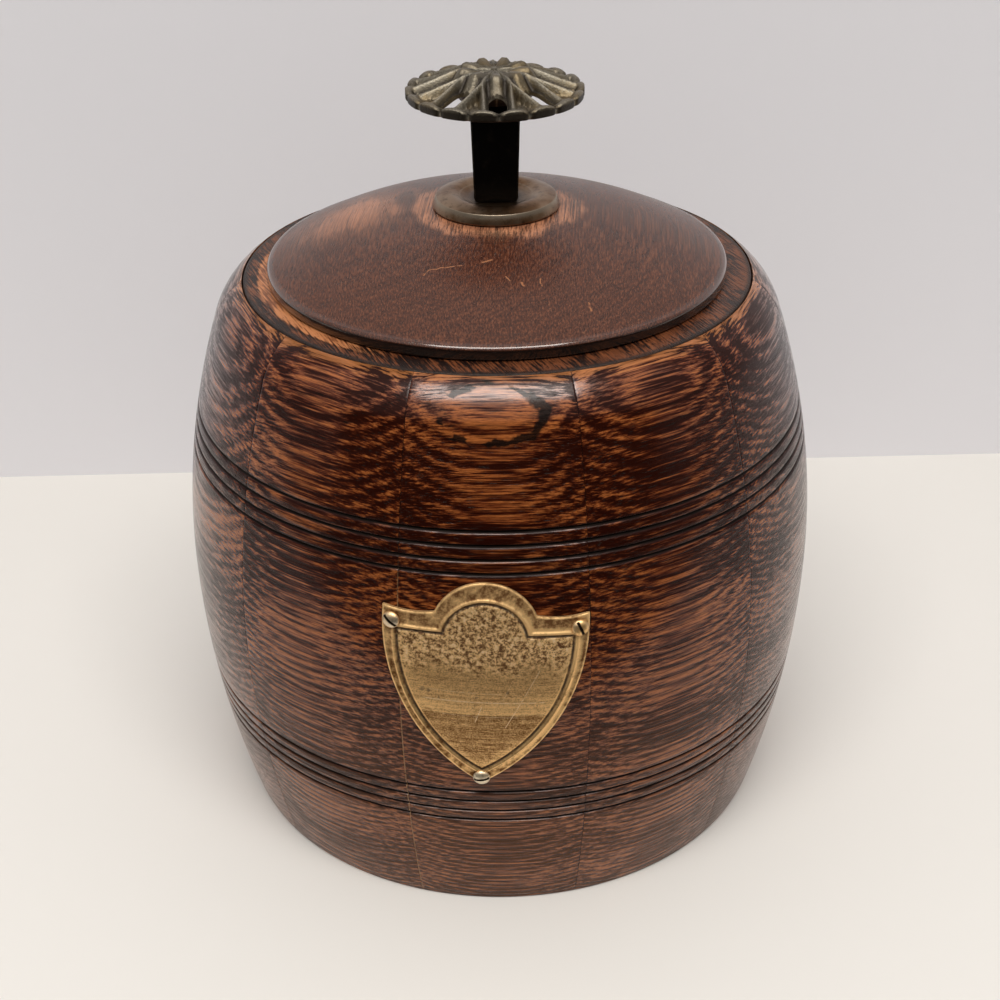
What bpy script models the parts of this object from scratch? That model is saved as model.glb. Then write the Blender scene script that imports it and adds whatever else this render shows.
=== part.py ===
"""Coopered oak biscuit barrel with a liner, a lift-off lid, a rosette knob and a brass shield."""

import math

import bmesh
import bpy
from mathutils import Matrix, Vector

# General fits, in metres
CLEARANCE = 0.0003
MERGE = 0.00001
STAVE_JOINT_GAP = 0.0002
LID_PLAY = 0.0005

# Barrel body
BODY_HEIGHT = 0.1400
BELLY_RADIUS = 0.0800
BELLY_HEIGHT = 0.0675
MOUTH_RADIUS = 0.0500
RING_WIDTH = 0.0115
RING_THICKNESS = 0.0070
RING_EDGE_CHAMFER = 0.0006
SHOULDER_RUN = 0.0075
SHOULDER_RISE = 0.0095
LINER_CATCH = 0.0075
LINER_WALL = 0.0040
LINER_FLOOR = 0.0050
LINER_CORNER_RADIUS = 0.0080
LINER_LIP_ROUND = 0.0012
BOARD_LEDGE = 0.0045
BOARD_THICKNESS = 0.0100
FOOT_WALL = 0.0081
FOOT_CHAMFER = 0.0005

# Staves: the front one is a little narrower than the rest
STAVE_COUNT = 11
FRONT_JOINT_ANGLE = math.radians(-16.9)
FRONT_STAVE_ANGLE = math.radians(31.3)

# Two bands of turned grooves
GROOVES_PER_BAND = 4
GROOVE_PITCH = 0.0032
GROOVE_WIDTH = 0.0012
GROOVE_DEPTH = 0.0007
UPPER_BAND_DROP = 0.0308
LOWER_BAND_HEIGHT = 0.0405

# Lid
LID_OVERHANG = 0.0055
LID_EDGE = 0.0026
LID_EDGE_ROUND = 0.0010
DOME_RISE = 0.0129
DOME_FULLNESS = 2.4
SPIGOT_DEPTH = 0.0042
COUNTERBORE_DEPTH = 0.0060

# Knob
BACKPLATE_RADIUS = 0.0152
BACKPLATE_EDGE = 0.0025
BACKPLATE_RISE = 0.0034
BACKPLATE_FLOOR = 0.0020
BACKPLATE_BEVEL = 0.0012
BACKPLATE_LIP = 0.0017
POST_FOOT_WIDTH = 0.0103
POST_TOP_WIDTH = 0.0116
POST_CHAMFER = 0.0010
POST_HEIGHT = 0.0235
ROSETTE_RADIUS = 0.0207
ROSETTE_RIM = 0.0024
ROSETTE_RIM_WIDTH = 0.0020
ROSETTE_HEIGHT = 0.0070
ROSETTE_SHELL = 0.0022
ROSETTE_PETALS = 9
ROSETTE_SWEEP = 1.6
ROSETTE_TURN = math.radians(2.5)
ROSETTE_SCALLOP = 0.0005
ROSETTE_RIB = 0.0011
HUB_RADIUS = 0.0075
HUB_SINK = 0.0010
BUMP_HEIGHT = 0.0013
PIERCING_LENGTH = 0.0060
PIERCING_WIDTH = 0.0042
KNOB_SCREW_RADIUS = 0.0020
KNOB_SCREW_HEAD_RADIUS = 0.0040
KNOB_SCREW_HEAD_HEIGHT = 0.0024
KNOB_SCREW_HEAD_ROUND = 0.0007
KNOB_SCREW_SLOT = 0.0010
KNOB_SCREW_HOLD = 0.0040
WASHER_RADIUS = 0.0062
WASHER_THICKNESS = 0.0011

# Shield
SHIELD_HALF_WIDTH = 0.0232
SHIELD_HEIGHT = 0.0535
SHIELD_SHOULDER_DROP = 0.0077
SHIELD_SHOULDER_SAG = 0.0006
SHIELD_LOBE_HALF_WIDTH = 0.0114
SHIELD_SIDE_STRAIGHT = 0.0024
SHIELD_THICKNESS = 0.0009
SHIELD_BAND_GAP = 0.0014
SHIELD_ANGLE = math.radians(-3.0)
SHIELD_TILT = math.radians(1.9)
SHIELD_MESH_STEP = 0.0055
SHIELD_SCREW_INSET = 0.0023
SHIELD_SCREW_DROP = 0.0109
SHIELD_SCREW_RISE = 0.0022
SCREW_HEAD_RADIUS = 0.0020
SCREW_HEAD_HEIGHT = 0.0012
SCREW_SHANK_RADIUS = 0.0010
SCREW_SHANK_LENGTH = 0.0090
SCREW_POINT = 0.0027
SLOT_WIDTH = 0.0005
SLOT_DEPTH = 0.0005

# Facets
STAVE_STEPS = 5
RING_STEPS = 55
LID_STEPS = 55
LINER_STEPS = 48
SMALL_STEPS = 16
ROSETTE_STEPS = 90
WALL_STEP = 0.0085
SHOULDER_STEPS = 6
DOME_STEPS = 8
PETAL_RINGS = 5
PIERCING_STEPS = 6
SHIELD_LOBE_STEPS = 6
SHIELD_SHOULDER_STEPS = 3
SHIELD_SIDE_STEPS = 10
SCREW_DOME_STEPS = 4

# Sizes that follow
LINER_RADIUS = MOUTH_RADIUS + LINER_CATCH
BORE_RADIUS = LINER_RADIUS + CLEARANCE
RING_RADIUS = MOUTH_RADIUS + RING_WIDTH
RING_SEAT_RADIUS = RING_RADIUS + CLEARANCE
RING_BOTTOM = BODY_HEIGHT - RING_THICKNESS
SHOULDER_RADIUS = RING_RADIUS + SHOULDER_RUN
SHOULDER_HEIGHT = BODY_HEIGHT - SHOULDER_RISE
BOARD_RADIUS = LINER_RADIUS + BOARD_LEDGE
BOARD_SEAT_RADIUS = BOARD_RADIUS + CLEARANCE
FOOT_RADIUS = BOARD_SEAT_RADIUS + FOOT_WALL
LINER_BOTTOM = BOARD_THICKNESS + CLEARANCE
LINER_TOP = RING_BOTTOM - CLEARANCE
LID_RADIUS = MOUTH_RADIUS + LID_OVERHANG
LID_BOTTOM = BODY_HEIGHT + CLEARANCE
LID_ARRIS = LID_BOTTOM + LID_EDGE
SPIGOT_RADIUS = MOUTH_RADIUS - LID_PLAY
SPIGOT_BOTTOM = LID_BOTTOM - SPIGOT_DEPTH
SEAT_RADIUS = BACKPLATE_RADIUS + CLEARANCE
COUNTERBORE_RADIUS = WASHER_RADIUS + CLEARANCE
COUNTERBORE_TOP = SPIGOT_BOTTOM + COUNTERBORE_DEPTH
KNOB_BORE_RADIUS = KNOB_SCREW_RADIUS + CLEARANCE
POST_FOOT_REACH = POST_FOOT_WIDTH / math.sqrt(2.0)
POST_TOP_REACH = POST_TOP_WIDTH / math.sqrt(2.0)
SHIELD_TOP = BODY_HEIGHT - UPPER_BAND_DROP - (GROOVES_PER_BAND - 1) * GROOVE_PITCH - SHIELD_BAND_GAP
SCREW_HOLE_RADIUS = SCREW_SHANK_RADIUS + CLEARANCE

# Finishes: colour, roughness, metallic
OAK = ((0.150, 0.035, 0.011), 0.38, 0.0)
OAK_RING = ((0.165, 0.050, 0.018), 0.55, 0.0)
OAK_LID = ((0.090, 0.030, 0.015), 0.42, 0.0)
OAK_BARE = ((0.330, 0.190, 0.090), 0.70, 0.0)
EARTHENWARE = ((0.780, 0.740, 0.660), 0.12, 0.0)
BRONZE = ((0.150, 0.085, 0.045), 0.40, 1.0)
BLACK_LACQUER = ((0.006, 0.006, 0.006), 0.25, 0.0)
DARK_BRASS = ((0.160, 0.130, 0.075), 0.45, 1.0)
BRASS = ((0.480, 0.300, 0.110), 0.35, 1.0)
BRIGHT_BRASS = ((0.700, 0.500, 0.260), 0.28, 1.0)
STEEL = ((0.420, 0.410, 0.400), 0.40, 1.0)


def clear_scene():
    """Remove whatever the scene holds."""
    for item in list(bpy.data.objects):
        bpy.data.objects.remove(item, do_unlink=True)


def add_empty(name, height):
    """Add an empty on the barrel's axis that carries the pieces of one body."""
    empty = bpy.data.objects.new(name, None)
    empty.location = (0.0, 0.0, height)
    bpy.context.scene.collection.objects.link(empty)
    return empty


def add_piece(name, bm, finish, body):
    """Turn a bmesh into a named object with its own material, carried by a body's empty."""
    bmesh.ops.recalc_face_normals(bm, faces=bm.faces)
    mesh = bpy.data.meshes.new(name)
    bm.to_mesh(mesh)
    bm.free()
    mesh.shade_smooth()
    mesh.set_sharp_from_angle(angle=math.radians(35.0))
    colour, roughness, metallic = finish
    material = bpy.data.materials.new(name + "_finish")
    material.use_nodes = True
    shader = material.node_tree.nodes["Principled BSDF"]
    shader.inputs["Base Color"].default_value = (*colour, 1.0)
    shader.inputs["Roughness"].default_value = roughness
    shader.inputs["Metallic"].default_value = metallic
    mesh.materials.append(material)
    piece = bpy.data.objects.new(name, mesh)
    bpy.context.scene.collection.objects.link(piece)
    piece.parent = body
    piece.matrix_parent_inverse = Matrix.Translation(body.location).inverted()
    return piece


def add_cutter(name, bm, matrix=None):
    """Add a hidden solid that only cuts other pieces."""
    bmesh.ops.recalc_face_normals(bm, faces=bm.faces)
    mesh = bpy.data.meshes.new(name)
    bm.to_mesh(mesh)
    bm.free()
    cutter = bpy.data.objects.new(name, mesh)
    cutter.hide_render = True
    cutter.display_type = "WIRE"
    bpy.context.scene.collection.objects.link(cutter)
    if matrix:
        cutter.matrix_world = matrix
    return cutter


def cut(piece, cutter):
    """Take a cutter's volume out of a piece."""
    boolean = piece.modifiers.new("cut_" + cutter.name, "BOOLEAN")
    boolean.operation = "DIFFERENCE"
    boolean.solver = "EXACT"
    boolean.object = cutter


def revolve(profile, steps, shape=None):
    """Turn a closed profile of (radius, height) points about Z; shape may move each point by its angle."""
    bm = bmesh.new()
    rings = []
    for index, (radius, height) in enumerate(profile):
        count = steps if radius > 0.0 else 1
        ring = []
        for step in range(count):
            angle = 2.0 * math.pi * step / steps
            reach, level = shape(index, radius, height, angle) if shape else (radius, height)
            ring.append(bm.verts.new((reach * math.sin(angle), -reach * math.cos(angle), level)))
        rings.append(ring)
    for ring, following in zip(rings, rings[1:] + rings[:1]):
        if len(ring) == 1 and len(following) == 1:
            continue
        for step in range(steps):
            after = (step + 1) % steps
            corners = [ring[step % len(ring)], ring[after % len(ring)]]
            corners += [following[after % len(following)], following[step % len(following)]]
            bm.faces.new(list(dict.fromkeys(corners)))
    return bm


def box(width, depth, height, centre):
    """Make a box of the given size about a centre point."""
    bm = bmesh.new()
    size = Matrix.Diagonal((width, depth, height, 1.0))
    bmesh.ops.create_cube(bm, size=1.0, matrix=Matrix.Translation(centre) @ size)
    return bm


def barrel_radius(height):
    """Give the outside radius of the plain wall, bowed both ways from the belly."""
    if height < BELLY_HEIGHT:
        share = (BELLY_HEIGHT - height) / BELLY_HEIGHT
        return BELLY_RADIUS - (BELLY_RADIUS - FOOT_RADIUS) * share ** 2
    share = (height - BELLY_HEIGHT) / (SHOULDER_HEIGHT - BELLY_HEIGHT)
    return BELLY_RADIUS - (BELLY_RADIUS - SHOULDER_RADIUS) * share ** 2


def barrel_slope(height):
    """Give how fast the plain wall's radius grows with height."""
    step = 0.0001
    return (barrel_radius(height + step) - barrel_radius(height - step)) / (2.0 * step)


def shoulder_arc(steps):
    """Give points of the shoulder's arc, tangent to the wall and ending at the ring's outer edge.

    It is round on a wall that falls gently to the shoulder, and hollow on one that falls steeply.
    """
    slope = barrel_slope(SHOULDER_HEIGHT - CLEARANCE)
    start = Vector((SHOULDER_RADIUS, SHOULDER_HEIGHT))
    end = Vector((RING_RADIUS, BODY_HEIGHT))
    inward = Vector((-1.0, slope)).normalized()
    chord = end - start
    bend = chord.length_squared / (2.0 * inward.dot(chord))
    centre = start + inward * bend
    radius = abs(bend)
    first = math.atan2(start.y - centre.y, start.x - centre.x)
    reach = RING_SEAT_RADIUS - centre.x
    last = math.copysign(math.acos(reach / radius), bend)
    angles = [first + (last - first) * step / steps for step in range(steps + 1)]
    return [(centre.x + radius * math.cos(a), centre.y + radius * math.sin(a)) for a in angles]


def band_heights():
    """Give the heights of all turned grooves."""
    upper_top = BODY_HEIGHT - UPPER_BAND_DROP
    upper = [upper_top - GROOVE_PITCH * n for n in range(GROOVES_PER_BAND)]
    lower = [LOWER_BAND_HEIGHT - GROOVE_PITCH * n for n in range(GROOVES_PER_BAND)]
    return upper + lower


def stave_profile():
    """Give a stave's cross-section: the bowed and grooved outside, then the seats and the bore inside."""
    grooves = band_heights()
    margin = 1.5 * GROOVE_WIDTH
    count = round((SHOULDER_HEIGHT - FOOT_CHAMFER) / WALL_STEP)
    plain = [FOOT_CHAMFER + (SHOULDER_HEIGHT - FOOT_CHAMFER) * n / count for n in range(count)]
    points = [(barrel_radius(h), h) for h in plain if all(abs(h - g) > margin for g in grooves)]
    for groove in grooves:
        for offset, depth in ((-0.5, 0.0), (0.0, GROOVE_DEPTH), (0.5, 0.0)):
            height = groove + offset * GROOVE_WIDTH
            points.append((barrel_radius(height) - depth, height))
    points.sort(key=lambda point: point[1])
    foot = [(FOOT_RADIUS - FOOT_CHAMFER, 0.0)]
    inside = [
        (RING_SEAT_RADIUS, RING_BOTTOM - CLEARANCE),
        (BORE_RADIUS, RING_BOTTOM - CLEARANCE),
        (BORE_RADIUS, BOARD_THICKNESS + CLEARANCE),
        (BOARD_SEAT_RADIUS, BOARD_THICKNESS + CLEARANCE),
        (BOARD_SEAT_RADIUS, 0.0),
    ]
    return foot + points + shoulder_arc(SHOULDER_STEPS) + inside


def stave_span(index):
    """Give the two joint angles of a stave, measured from the front."""
    if index == 0:
        return FRONT_JOINT_ANGLE, FRONT_JOINT_ANGLE + FRONT_STAVE_ANGLE
    width = (2.0 * math.pi - FRONT_STAVE_ANGLE) / (STAVE_COUNT - 1)
    start = FRONT_JOINT_ANGLE + FRONT_STAVE_ANGLE + (index - 1) * width
    return start, start + width


def build_stave(index, body):
    """Build one stave as a wedge of the turned wall between two flat joint faces."""
    start, end = stave_span(index)
    profile = stave_profile()
    bm = bmesh.new()
    columns = []
    for step in range(STAVE_STEPS + 1):
        column = []
        for radius, height in profile:
            edge = math.asin(0.5 * STAVE_JOINT_GAP / radius)
            angle = start + edge + (end - start - 2.0 * edge) * step / STAVE_STEPS
            column.append(bm.verts.new((radius * math.sin(angle), -radius * math.cos(angle), height)))
        columns.append(column)
    for column, following in zip(columns, columns[1:]):
        for n in range(len(profile)):
            after = (n + 1) % len(profile)
            bm.faces.new((column[n], column[after], following[after], following[n]))
    bm.faces.new(columns[0])
    bm.faces.new(columns[-1])
    return add_piece(f"stave_{index + 1:02d}", bm, OAK, body)


def build_mouth_ring(body):
    """Build the ring let into the stave tops."""
    c = RING_EDGE_CHAMFER
    profile = [
        (MOUTH_RADIUS + c, BODY_HEIGHT),
        (RING_RADIUS - c, BODY_HEIGHT),
        (RING_RADIUS, BODY_HEIGHT - c),
        (RING_RADIUS, RING_BOTTOM),
        (MOUTH_RADIUS, RING_BOTTOM),
        (MOUTH_RADIUS, BODY_HEIGHT - c),
    ]
    return add_piece("mouth_ring", revolve(profile, RING_STEPS), OAK_RING, body)


def build_base_board(body):
    """Build the board inside the foot of the staves."""
    top = BOARD_THICKNESS
    profile = [(0.0, top), (BOARD_RADIUS, top), (BOARD_RADIUS, 0.0), (0.0, 0.0)]
    return add_piece("base_board", revolve(profile, RING_STEPS), OAK_BARE, body)


def build_liner(body):
    """Build the glazed pot that stands on the board and is held down by the mouth ring."""
    inside = LINER_RADIUS - LINER_WALL
    floor = LINER_BOTTOM + LINER_FLOOR
    r = LINER_CORNER_RADIUS
    lip = LINER_LIP_ROUND
    turns = [math.radians(a) for a in (0.0, 30.0, 60.0, 90.0)]
    corner = [(inside - r + r * math.cos(a), floor + r - r * math.sin(a)) for a in turns]
    profile = [(0.0, LINER_BOTTOM), (LINER_RADIUS - lip, LINER_BOTTOM), (LINER_RADIUS, LINER_BOTTOM + lip)]
    profile += [(LINER_RADIUS, LINER_TOP - lip), (LINER_RADIUS - lip, LINER_TOP)]
    profile += [(inside + lip, LINER_TOP), (inside, LINER_TOP - lip)]
    profile += corner + [(0.0, floor)]
    return add_piece("liner", revolve(profile, LINER_STEPS), EARTHENWARE, body)


def dome_height(radius):
    """Give the height of the lid's domed top."""
    return LID_ARRIS + DOME_RISE * (1.0 - (radius / LID_RADIUS) ** DOME_FULLNESS)


def build_lid(body):
    """Build the domed lid, its lip, its spigot and the seat and bore for the knob."""
    seat = dome_height(SEAT_RADIUS)
    crown = LID_RADIUS - LID_EDGE_ROUND
    radii = [SEAT_RADIUS + (crown - SEAT_RADIUS) * n / DOME_STEPS for n in range(DOME_STEPS + 1)]
    edge_low = LID_BOTTOM + 0.5 * LID_EDGE_ROUND
    profile = [(KNOB_BORE_RADIUS, seat)]
    profile += [(radius, dome_height(radius)) for radius in radii]
    profile += [(LID_RADIUS, LID_ARRIS - 0.5 * LID_EDGE_ROUND), (LID_RADIUS, edge_low)]
    profile += [(LID_RADIUS - 0.5 * LID_EDGE_ROUND, LID_BOTTOM), (SPIGOT_RADIUS, LID_BOTTOM)]
    profile += [(SPIGOT_RADIUS, SPIGOT_BOTTOM), (COUNTERBORE_RADIUS, SPIGOT_BOTTOM)]
    profile += [(COUNTERBORE_RADIUS, COUNTERBORE_TOP), (KNOB_BORE_RADIUS, COUNTERBORE_TOP)]
    return add_piece("lid", revolve(profile, LID_STEPS), OAK_LID, body)


def knob_levels():
    """Give the heights of the knob's stack: backplate bottom, post bottom, post top, rosette bottom."""
    backplate = dome_height(SEAT_RADIUS) + CLEARANCE
    post = backplate + BACKPLATE_FLOOR + CLEARANCE
    top = post + POST_HEIGHT
    return backplate, post, top, top + CLEARANCE


def build_backplate(body):
    """Build the dished disc under the post."""
    bottom = knob_levels()[0]
    hollow = POST_FOOT_REACH + CLEARANCE
    lip = hollow + BACKPLATE_LIP
    profile = [
        (KNOB_BORE_RADIUS, bottom + BACKPLATE_FLOOR),
        (hollow, bottom + BACKPLATE_FLOOR),
        (lip, bottom + BACKPLATE_RISE),
        (BACKPLATE_RADIUS - BACKPLATE_BEVEL, bottom + BACKPLATE_EDGE),
        (BACKPLATE_RADIUS, bottom + BACKPLATE_EDGE - BACKPLATE_BEVEL),
        (BACKPLATE_RADIUS, bottom),
        (KNOB_BORE_RADIUS, bottom),
    ]
    return add_piece("knob_backplate", revolve(profile, 2 * SMALL_STEPS), BRONZE, body)


def square_ring(bm, width, height):
    """Add the eight corner points of a square with cut corners."""
    half = 0.5 * width
    short = half - POST_CHAMFER
    corners = [(short, -half), (half, -short), (half, short), (short, half)]
    corners += [(-short, half), (-half, short), (-half, -short), (-short, -half)]
    return [bm.verts.new((x, y, height)) for x, y in corners]


def build_post(body, bore):
    """Build the tapered square post between the backplate and the rosette."""
    _, bottom, top, _ = knob_levels()
    bm = bmesh.new()
    low = square_ring(bm, POST_FOOT_WIDTH, bottom)
    high = square_ring(bm, POST_TOP_WIDTH, top)
    for n in range(len(low)):
        after = (n + 1) % len(low)
        bm.faces.new((low[n], low[after], high[after], high[n]))
    bm.faces.new(low)
    bm.faces.new(high)
    post = add_piece("knob_post", bm, BLACK_LACQUER, body)
    cut(post, bore)
    return post


def rosette_profile(bottom):
    """Give the rosette's section: hub, ribs and rim on top, a shell with a central boss below."""
    boss = POST_TOP_REACH + CLEARANCE
    inner_rim = ROSETTE_RADIUS - ROSETTE_RIM_WIDTH
    hub_top = bottom + ROSETTE_HEIGHT - BUMP_HEIGHT
    rise = hub_top - bottom - ROSETTE_RIM
    upper = [(0.0, hub_top - HUB_SINK), (0.5 * HUB_RADIUS, hub_top - HUB_SINK)]
    for n in range(PETAL_RINGS + 1):
        share = n / PETAL_RINGS
        radius = HUB_RADIUS + (inner_rim - HUB_RADIUS) * share
        upper.append((radius, bottom + ROSETTE_RIM + rise * (1.0 - share) ** ROSETTE_SWEEP))
    rim = [(ROSETTE_RADIUS, bottom + ROSETTE_RIM), (ROSETTE_RADIUS, bottom), (inner_rim, bottom)]
    shell = []
    for share in (0.75, 0.5, 0.25):
        radius = boss + (inner_rim - boss) * share
        across = max(0.0, 1.0 - (radius - HUB_RADIUS) / (inner_rim - HUB_RADIUS))
        level = bottom + ROSETTE_RIM + rise * across ** ROSETTE_SWEEP - ROSETTE_SHELL
        shell.append((radius, max(level, bottom + CLEARANCE)))
    return upper, rim + shell + [(boss, bottom), (0.0, bottom)]


def build_rosette(body, bore):
    """Build the cast rosette: ribbed petals, a scalloped rim and pierced openings."""
    bottom = knob_levels()[3]
    upper, lower = rosette_profile(bottom)
    inner_rim = ROSETTE_RADIUS - ROSETTE_RIM_WIDTH

    def shape(index, radius, height, angle):
        """Raise the ribs and bumps on the top and notch the rim."""
        angle -= ROSETTE_TURN
        if radius >= ROSETTE_RADIUS:
            notch = abs(math.cos(ROSETTE_PETALS * angle)) ** 6
            return radius - ROSETTE_SCALLOP * notch, height
        if index >= len(upper) or radius < 0.9 * HUB_RADIUS:
            return radius, height
        rib = 0.5 + 0.5 * math.cos(ROSETTE_PETALS * angle)
        if radius == HUB_RADIUS:
            return radius, height + BUMP_HEIGHT * rib ** 2
        fade = (inner_rim - radius) / (inner_rim - HUB_RADIUS)
        return radius, height + ROSETTE_RIB * rib ** 2 * fade

    rosette = add_piece("knob_rosette", revolve(upper + lower, ROSETTE_STEPS, shape), DARK_BRASS, body)
    cut(rosette, add_cutter("rosette_piercings", piercings(bottom)))
    cut(rosette, bore)
    return rosette


def piercings(bottom):
    """Make the row of tear-shaped openings in the ribs, just inside the rim."""
    outer = ROSETTE_RADIUS - ROSETTE_RIM_WIDTH - CLEARANCE
    half = 0.5 * PIERCING_WIDTH
    first = -math.asin(half / (PIERCING_LENGTH - half))
    bm = bmesh.new()
    for petal in range(ROSETTE_PETALS):
        turn = Matrix.Rotation(ROSETTE_TURN + 2.0 * math.pi * petal / ROSETTE_PETALS, 4, "Z")
        outline = [(0.0, outer - PIERCING_LENGTH)]
        for n in range(PIERCING_STEPS + 1):
            a = first + (math.pi - 2.0 * first) * n / PIERCING_STEPS
            outline.append((half * math.cos(a), outer - half + half * math.sin(a)))
        low = [bm.verts.new(turn @ Vector((x, -y, bottom - ROSETTE_RIM))) for x, y in outline]
        high = [bm.verts.new(turn @ Vector((x, -y, bottom + 2.0 * ROSETTE_HEIGHT))) for x, y in outline]
        for n in range(len(low)):
            after = (n + 1) % len(low)
            bm.faces.new((low[n], low[after], high[after], high[n]))
        bm.faces.new(low)
        bm.faces.new(high)
    return bm


def build_knob_fixing(body):
    """Build the washer and the screw that pull the knob down on the lid from below."""
    washer_top = COUNTERBORE_TOP - CLEARANCE
    washer_bottom = washer_top - WASHER_THICKNESS
    profile = [
        (KNOB_BORE_RADIUS, washer_top),
        (WASHER_RADIUS, washer_top),
        (WASHER_RADIUS, washer_bottom),
        (KNOB_BORE_RADIUS, washer_bottom),
    ]
    add_piece("knob_washer", revolve(profile, SMALL_STEPS), STEEL, body)
    head_top = washer_bottom - CLEARANCE
    head_bottom = head_top - KNOB_SCREW_HEAD_HEIGHT
    tip = knob_levels()[3] + KNOB_SCREW_HOLD
    round_off = KNOB_SCREW_HEAD_ROUND
    profile = [
        (0.0, tip),
        (KNOB_SCREW_RADIUS, tip),
        (KNOB_SCREW_RADIUS, head_top),
        (KNOB_SCREW_HEAD_RADIUS, head_top),
        (KNOB_SCREW_HEAD_RADIUS, head_bottom + round_off),
        (KNOB_SCREW_HEAD_RADIUS - round_off, head_bottom),
        (0.0, head_bottom),
    ]
    screw = add_piece("knob_screw", revolve(profile, SMALL_STEPS), STEEL, body)
    slot = box(4.0 * KNOB_SCREW_HEAD_RADIUS, KNOB_SCREW_SLOT, 2.0 * KNOB_SCREW_SLOT, (0.0, 0.0, head_bottom))
    cut(screw, add_cutter("knob_screw_slot", slot))


def knob_bore():
    """Make the bore through the post and into the rosette's boss."""
    _, post, _, rosette = knob_levels()
    top = rosette + KNOB_SCREW_HOLD + CLEARANCE
    bottom = post - POST_CHAMFER
    profile = [(0.0, top), (KNOB_BORE_RADIUS, top), (KNOB_BORE_RADIUS, bottom), (0.0, bottom)]
    return add_cutter("knob_bore", revolve(profile, SMALL_STEPS))


def shield_side_half_width(drop):
    """Give the shield's half width at a distance below its top, on the curved side."""
    start = SHIELD_SHOULDER_DROP + SHIELD_SIDE_STRAIGHT
    run = SHIELD_HEIGHT - start
    radius = (SHIELD_HALF_WIDTH ** 2 + run ** 2) / (2.0 * SHIELD_HALF_WIDTH)
    along = max(0.0, drop - start)
    return SHIELD_HALF_WIDTH - radius + math.sqrt(radius ** 2 - along ** 2)


def shield_half_outline():
    """Give the right half of the shield from the top of its lobe to its point, as (across, drop)."""
    w, drop = SHIELD_LOBE_HALF_WIDTH, SHIELD_SHOULDER_DROP
    lobe_radius = (w ** 2 + drop ** 2) / (2.0 * drop)
    reach = math.asin(w / lobe_radius)
    points = []
    for n in range(SHIELD_LOBE_STEPS + 1):
        a = reach * n / SHIELD_LOBE_STEPS
        points.append((lobe_radius * math.sin(a), lobe_radius * (1.0 - math.cos(a))))
    for n in range(1, SHIELD_SHOULDER_STEPS):
        share = n / SHIELD_SHOULDER_STEPS
        sag = SHIELD_SHOULDER_SAG * 4.0 * share * (1.0 - share)
        points.append((w + (SHIELD_HALF_WIDTH - w) * share, drop + sag))
    points.append((SHIELD_HALF_WIDTH, drop))
    side_start = drop + SHIELD_SIDE_STRAIGHT
    for n in range(SHIELD_SIDE_STEPS):
        level = side_start + (SHIELD_HEIGHT - side_start) * n / SHIELD_SIDE_STEPS
        points.append((shield_side_half_width(level), level))
    points.append((0.0, SHIELD_HEIGHT))
    return points


def on_shield(across, drop):
    """Give the angle from the front and the height of a point on the tilted shield."""
    c, s = math.cos(SHIELD_TILT), math.sin(SHIELD_TILT)
    middle = 0.5 * SHIELD_HEIGHT
    x = across * c + (middle - drop) * s
    z = -across * s + (middle - drop) * c
    return SHIELD_ANGLE + x / BELLY_RADIUS, SHIELD_TOP - middle + z


def on_barrel(angle, height, proud):
    """Give a point that stands proud of the barrel's wall, and the wall's outward direction there."""
    out = Vector((math.sin(angle), -math.cos(angle), -barrel_slope(height))).normalized()
    radius = barrel_radius(height)
    return Vector((radius * math.sin(angle), -radius * math.cos(angle), height)) + out * proud, out


def build_shield(body, holes):
    """Build the stamped plate wrapped round the front of the barrel."""
    half = shield_half_outline()
    outline = half + [(-x, y) for x, y in reversed(half[1:-1])]
    bm = bmesh.new()
    bm.faces.new([bm.verts.new((x, 0.0, -y)) for x, y in outline])
    across = math.ceil(SHIELD_HALF_WIDTH / SHIELD_MESH_STEP)
    down = math.ceil(SHIELD_HEIGHT / SHIELD_MESH_STEP)
    planes = [((n * SHIELD_MESH_STEP, 0.0, 0.0), (1.0, 0.0, 0.0)) for n in range(1 - across, across)]
    planes += [((0.0, 0.0, -n * SHIELD_MESH_STEP), (0.0, 0.0, 1.0)) for n in range(1, down)]
    for point, direction in planes:
        geometry = list(bm.verts) + list(bm.edges) + list(bm.faces)
        bmesh.ops.bisect_plane(bm, geom=geometry, dist=MERGE, plane_co=point, plane_no=direction)
    front = {}
    for vert in list(bm.verts):
        angle, height = on_shield(vert.co.x, -vert.co.z)
        vert.co = on_barrel(angle, height, CLEARANCE)[0]
        front[vert] = bm.verts.new(on_barrel(angle, height, CLEARANCE + SHIELD_THICKNESS)[0])
    rim = [edge for edge in bm.edges if edge.is_boundary]
    for face in list(bm.faces):
        bm.faces.new([front[vert] for vert in face.verts])
    for edge in rim:
        a, b = edge.verts
        bm.faces.new((a, b, front[b], front[a]))
    shield = add_piece("shield_plate", bm, BRASS, body)
    for hole in holes:
        cut(shield, hole)
    return shield


def shield_screws():
    """Give each shield screw's name, its place on the plate and the turn of its slot."""
    side = SHIELD_HALF_WIDTH - SHIELD_SCREW_INSET
    return [
        ("shield_screw_left", -side, SHIELD_SCREW_DROP, math.radians(-40.0)),
        ("shield_screw_right", side, SHIELD_SCREW_DROP, math.radians(-68.0)),
        ("shield_screw_bottom", 0.0, SHIELD_HEIGHT - SHIELD_SCREW_RISE, math.radians(8.0)),
    ]


def screw_frame(across, drop, turn):
    """Give the placing of a shield screw: its origin under the head, its Z straight out of the barrel."""
    angle, height = on_shield(across, drop)
    point, out = on_barrel(angle, height, 2.0 * CLEARANCE + SHIELD_THICKNESS)
    side = Vector((math.cos(angle), math.sin(angle), 0.0))
    up = out.cross(side)
    axes = Matrix((side, up, out)).transposed().to_4x4()
    return angle, Matrix.Translation(point) @ axes @ Matrix.Rotation(turn, 4, "Z")


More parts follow.
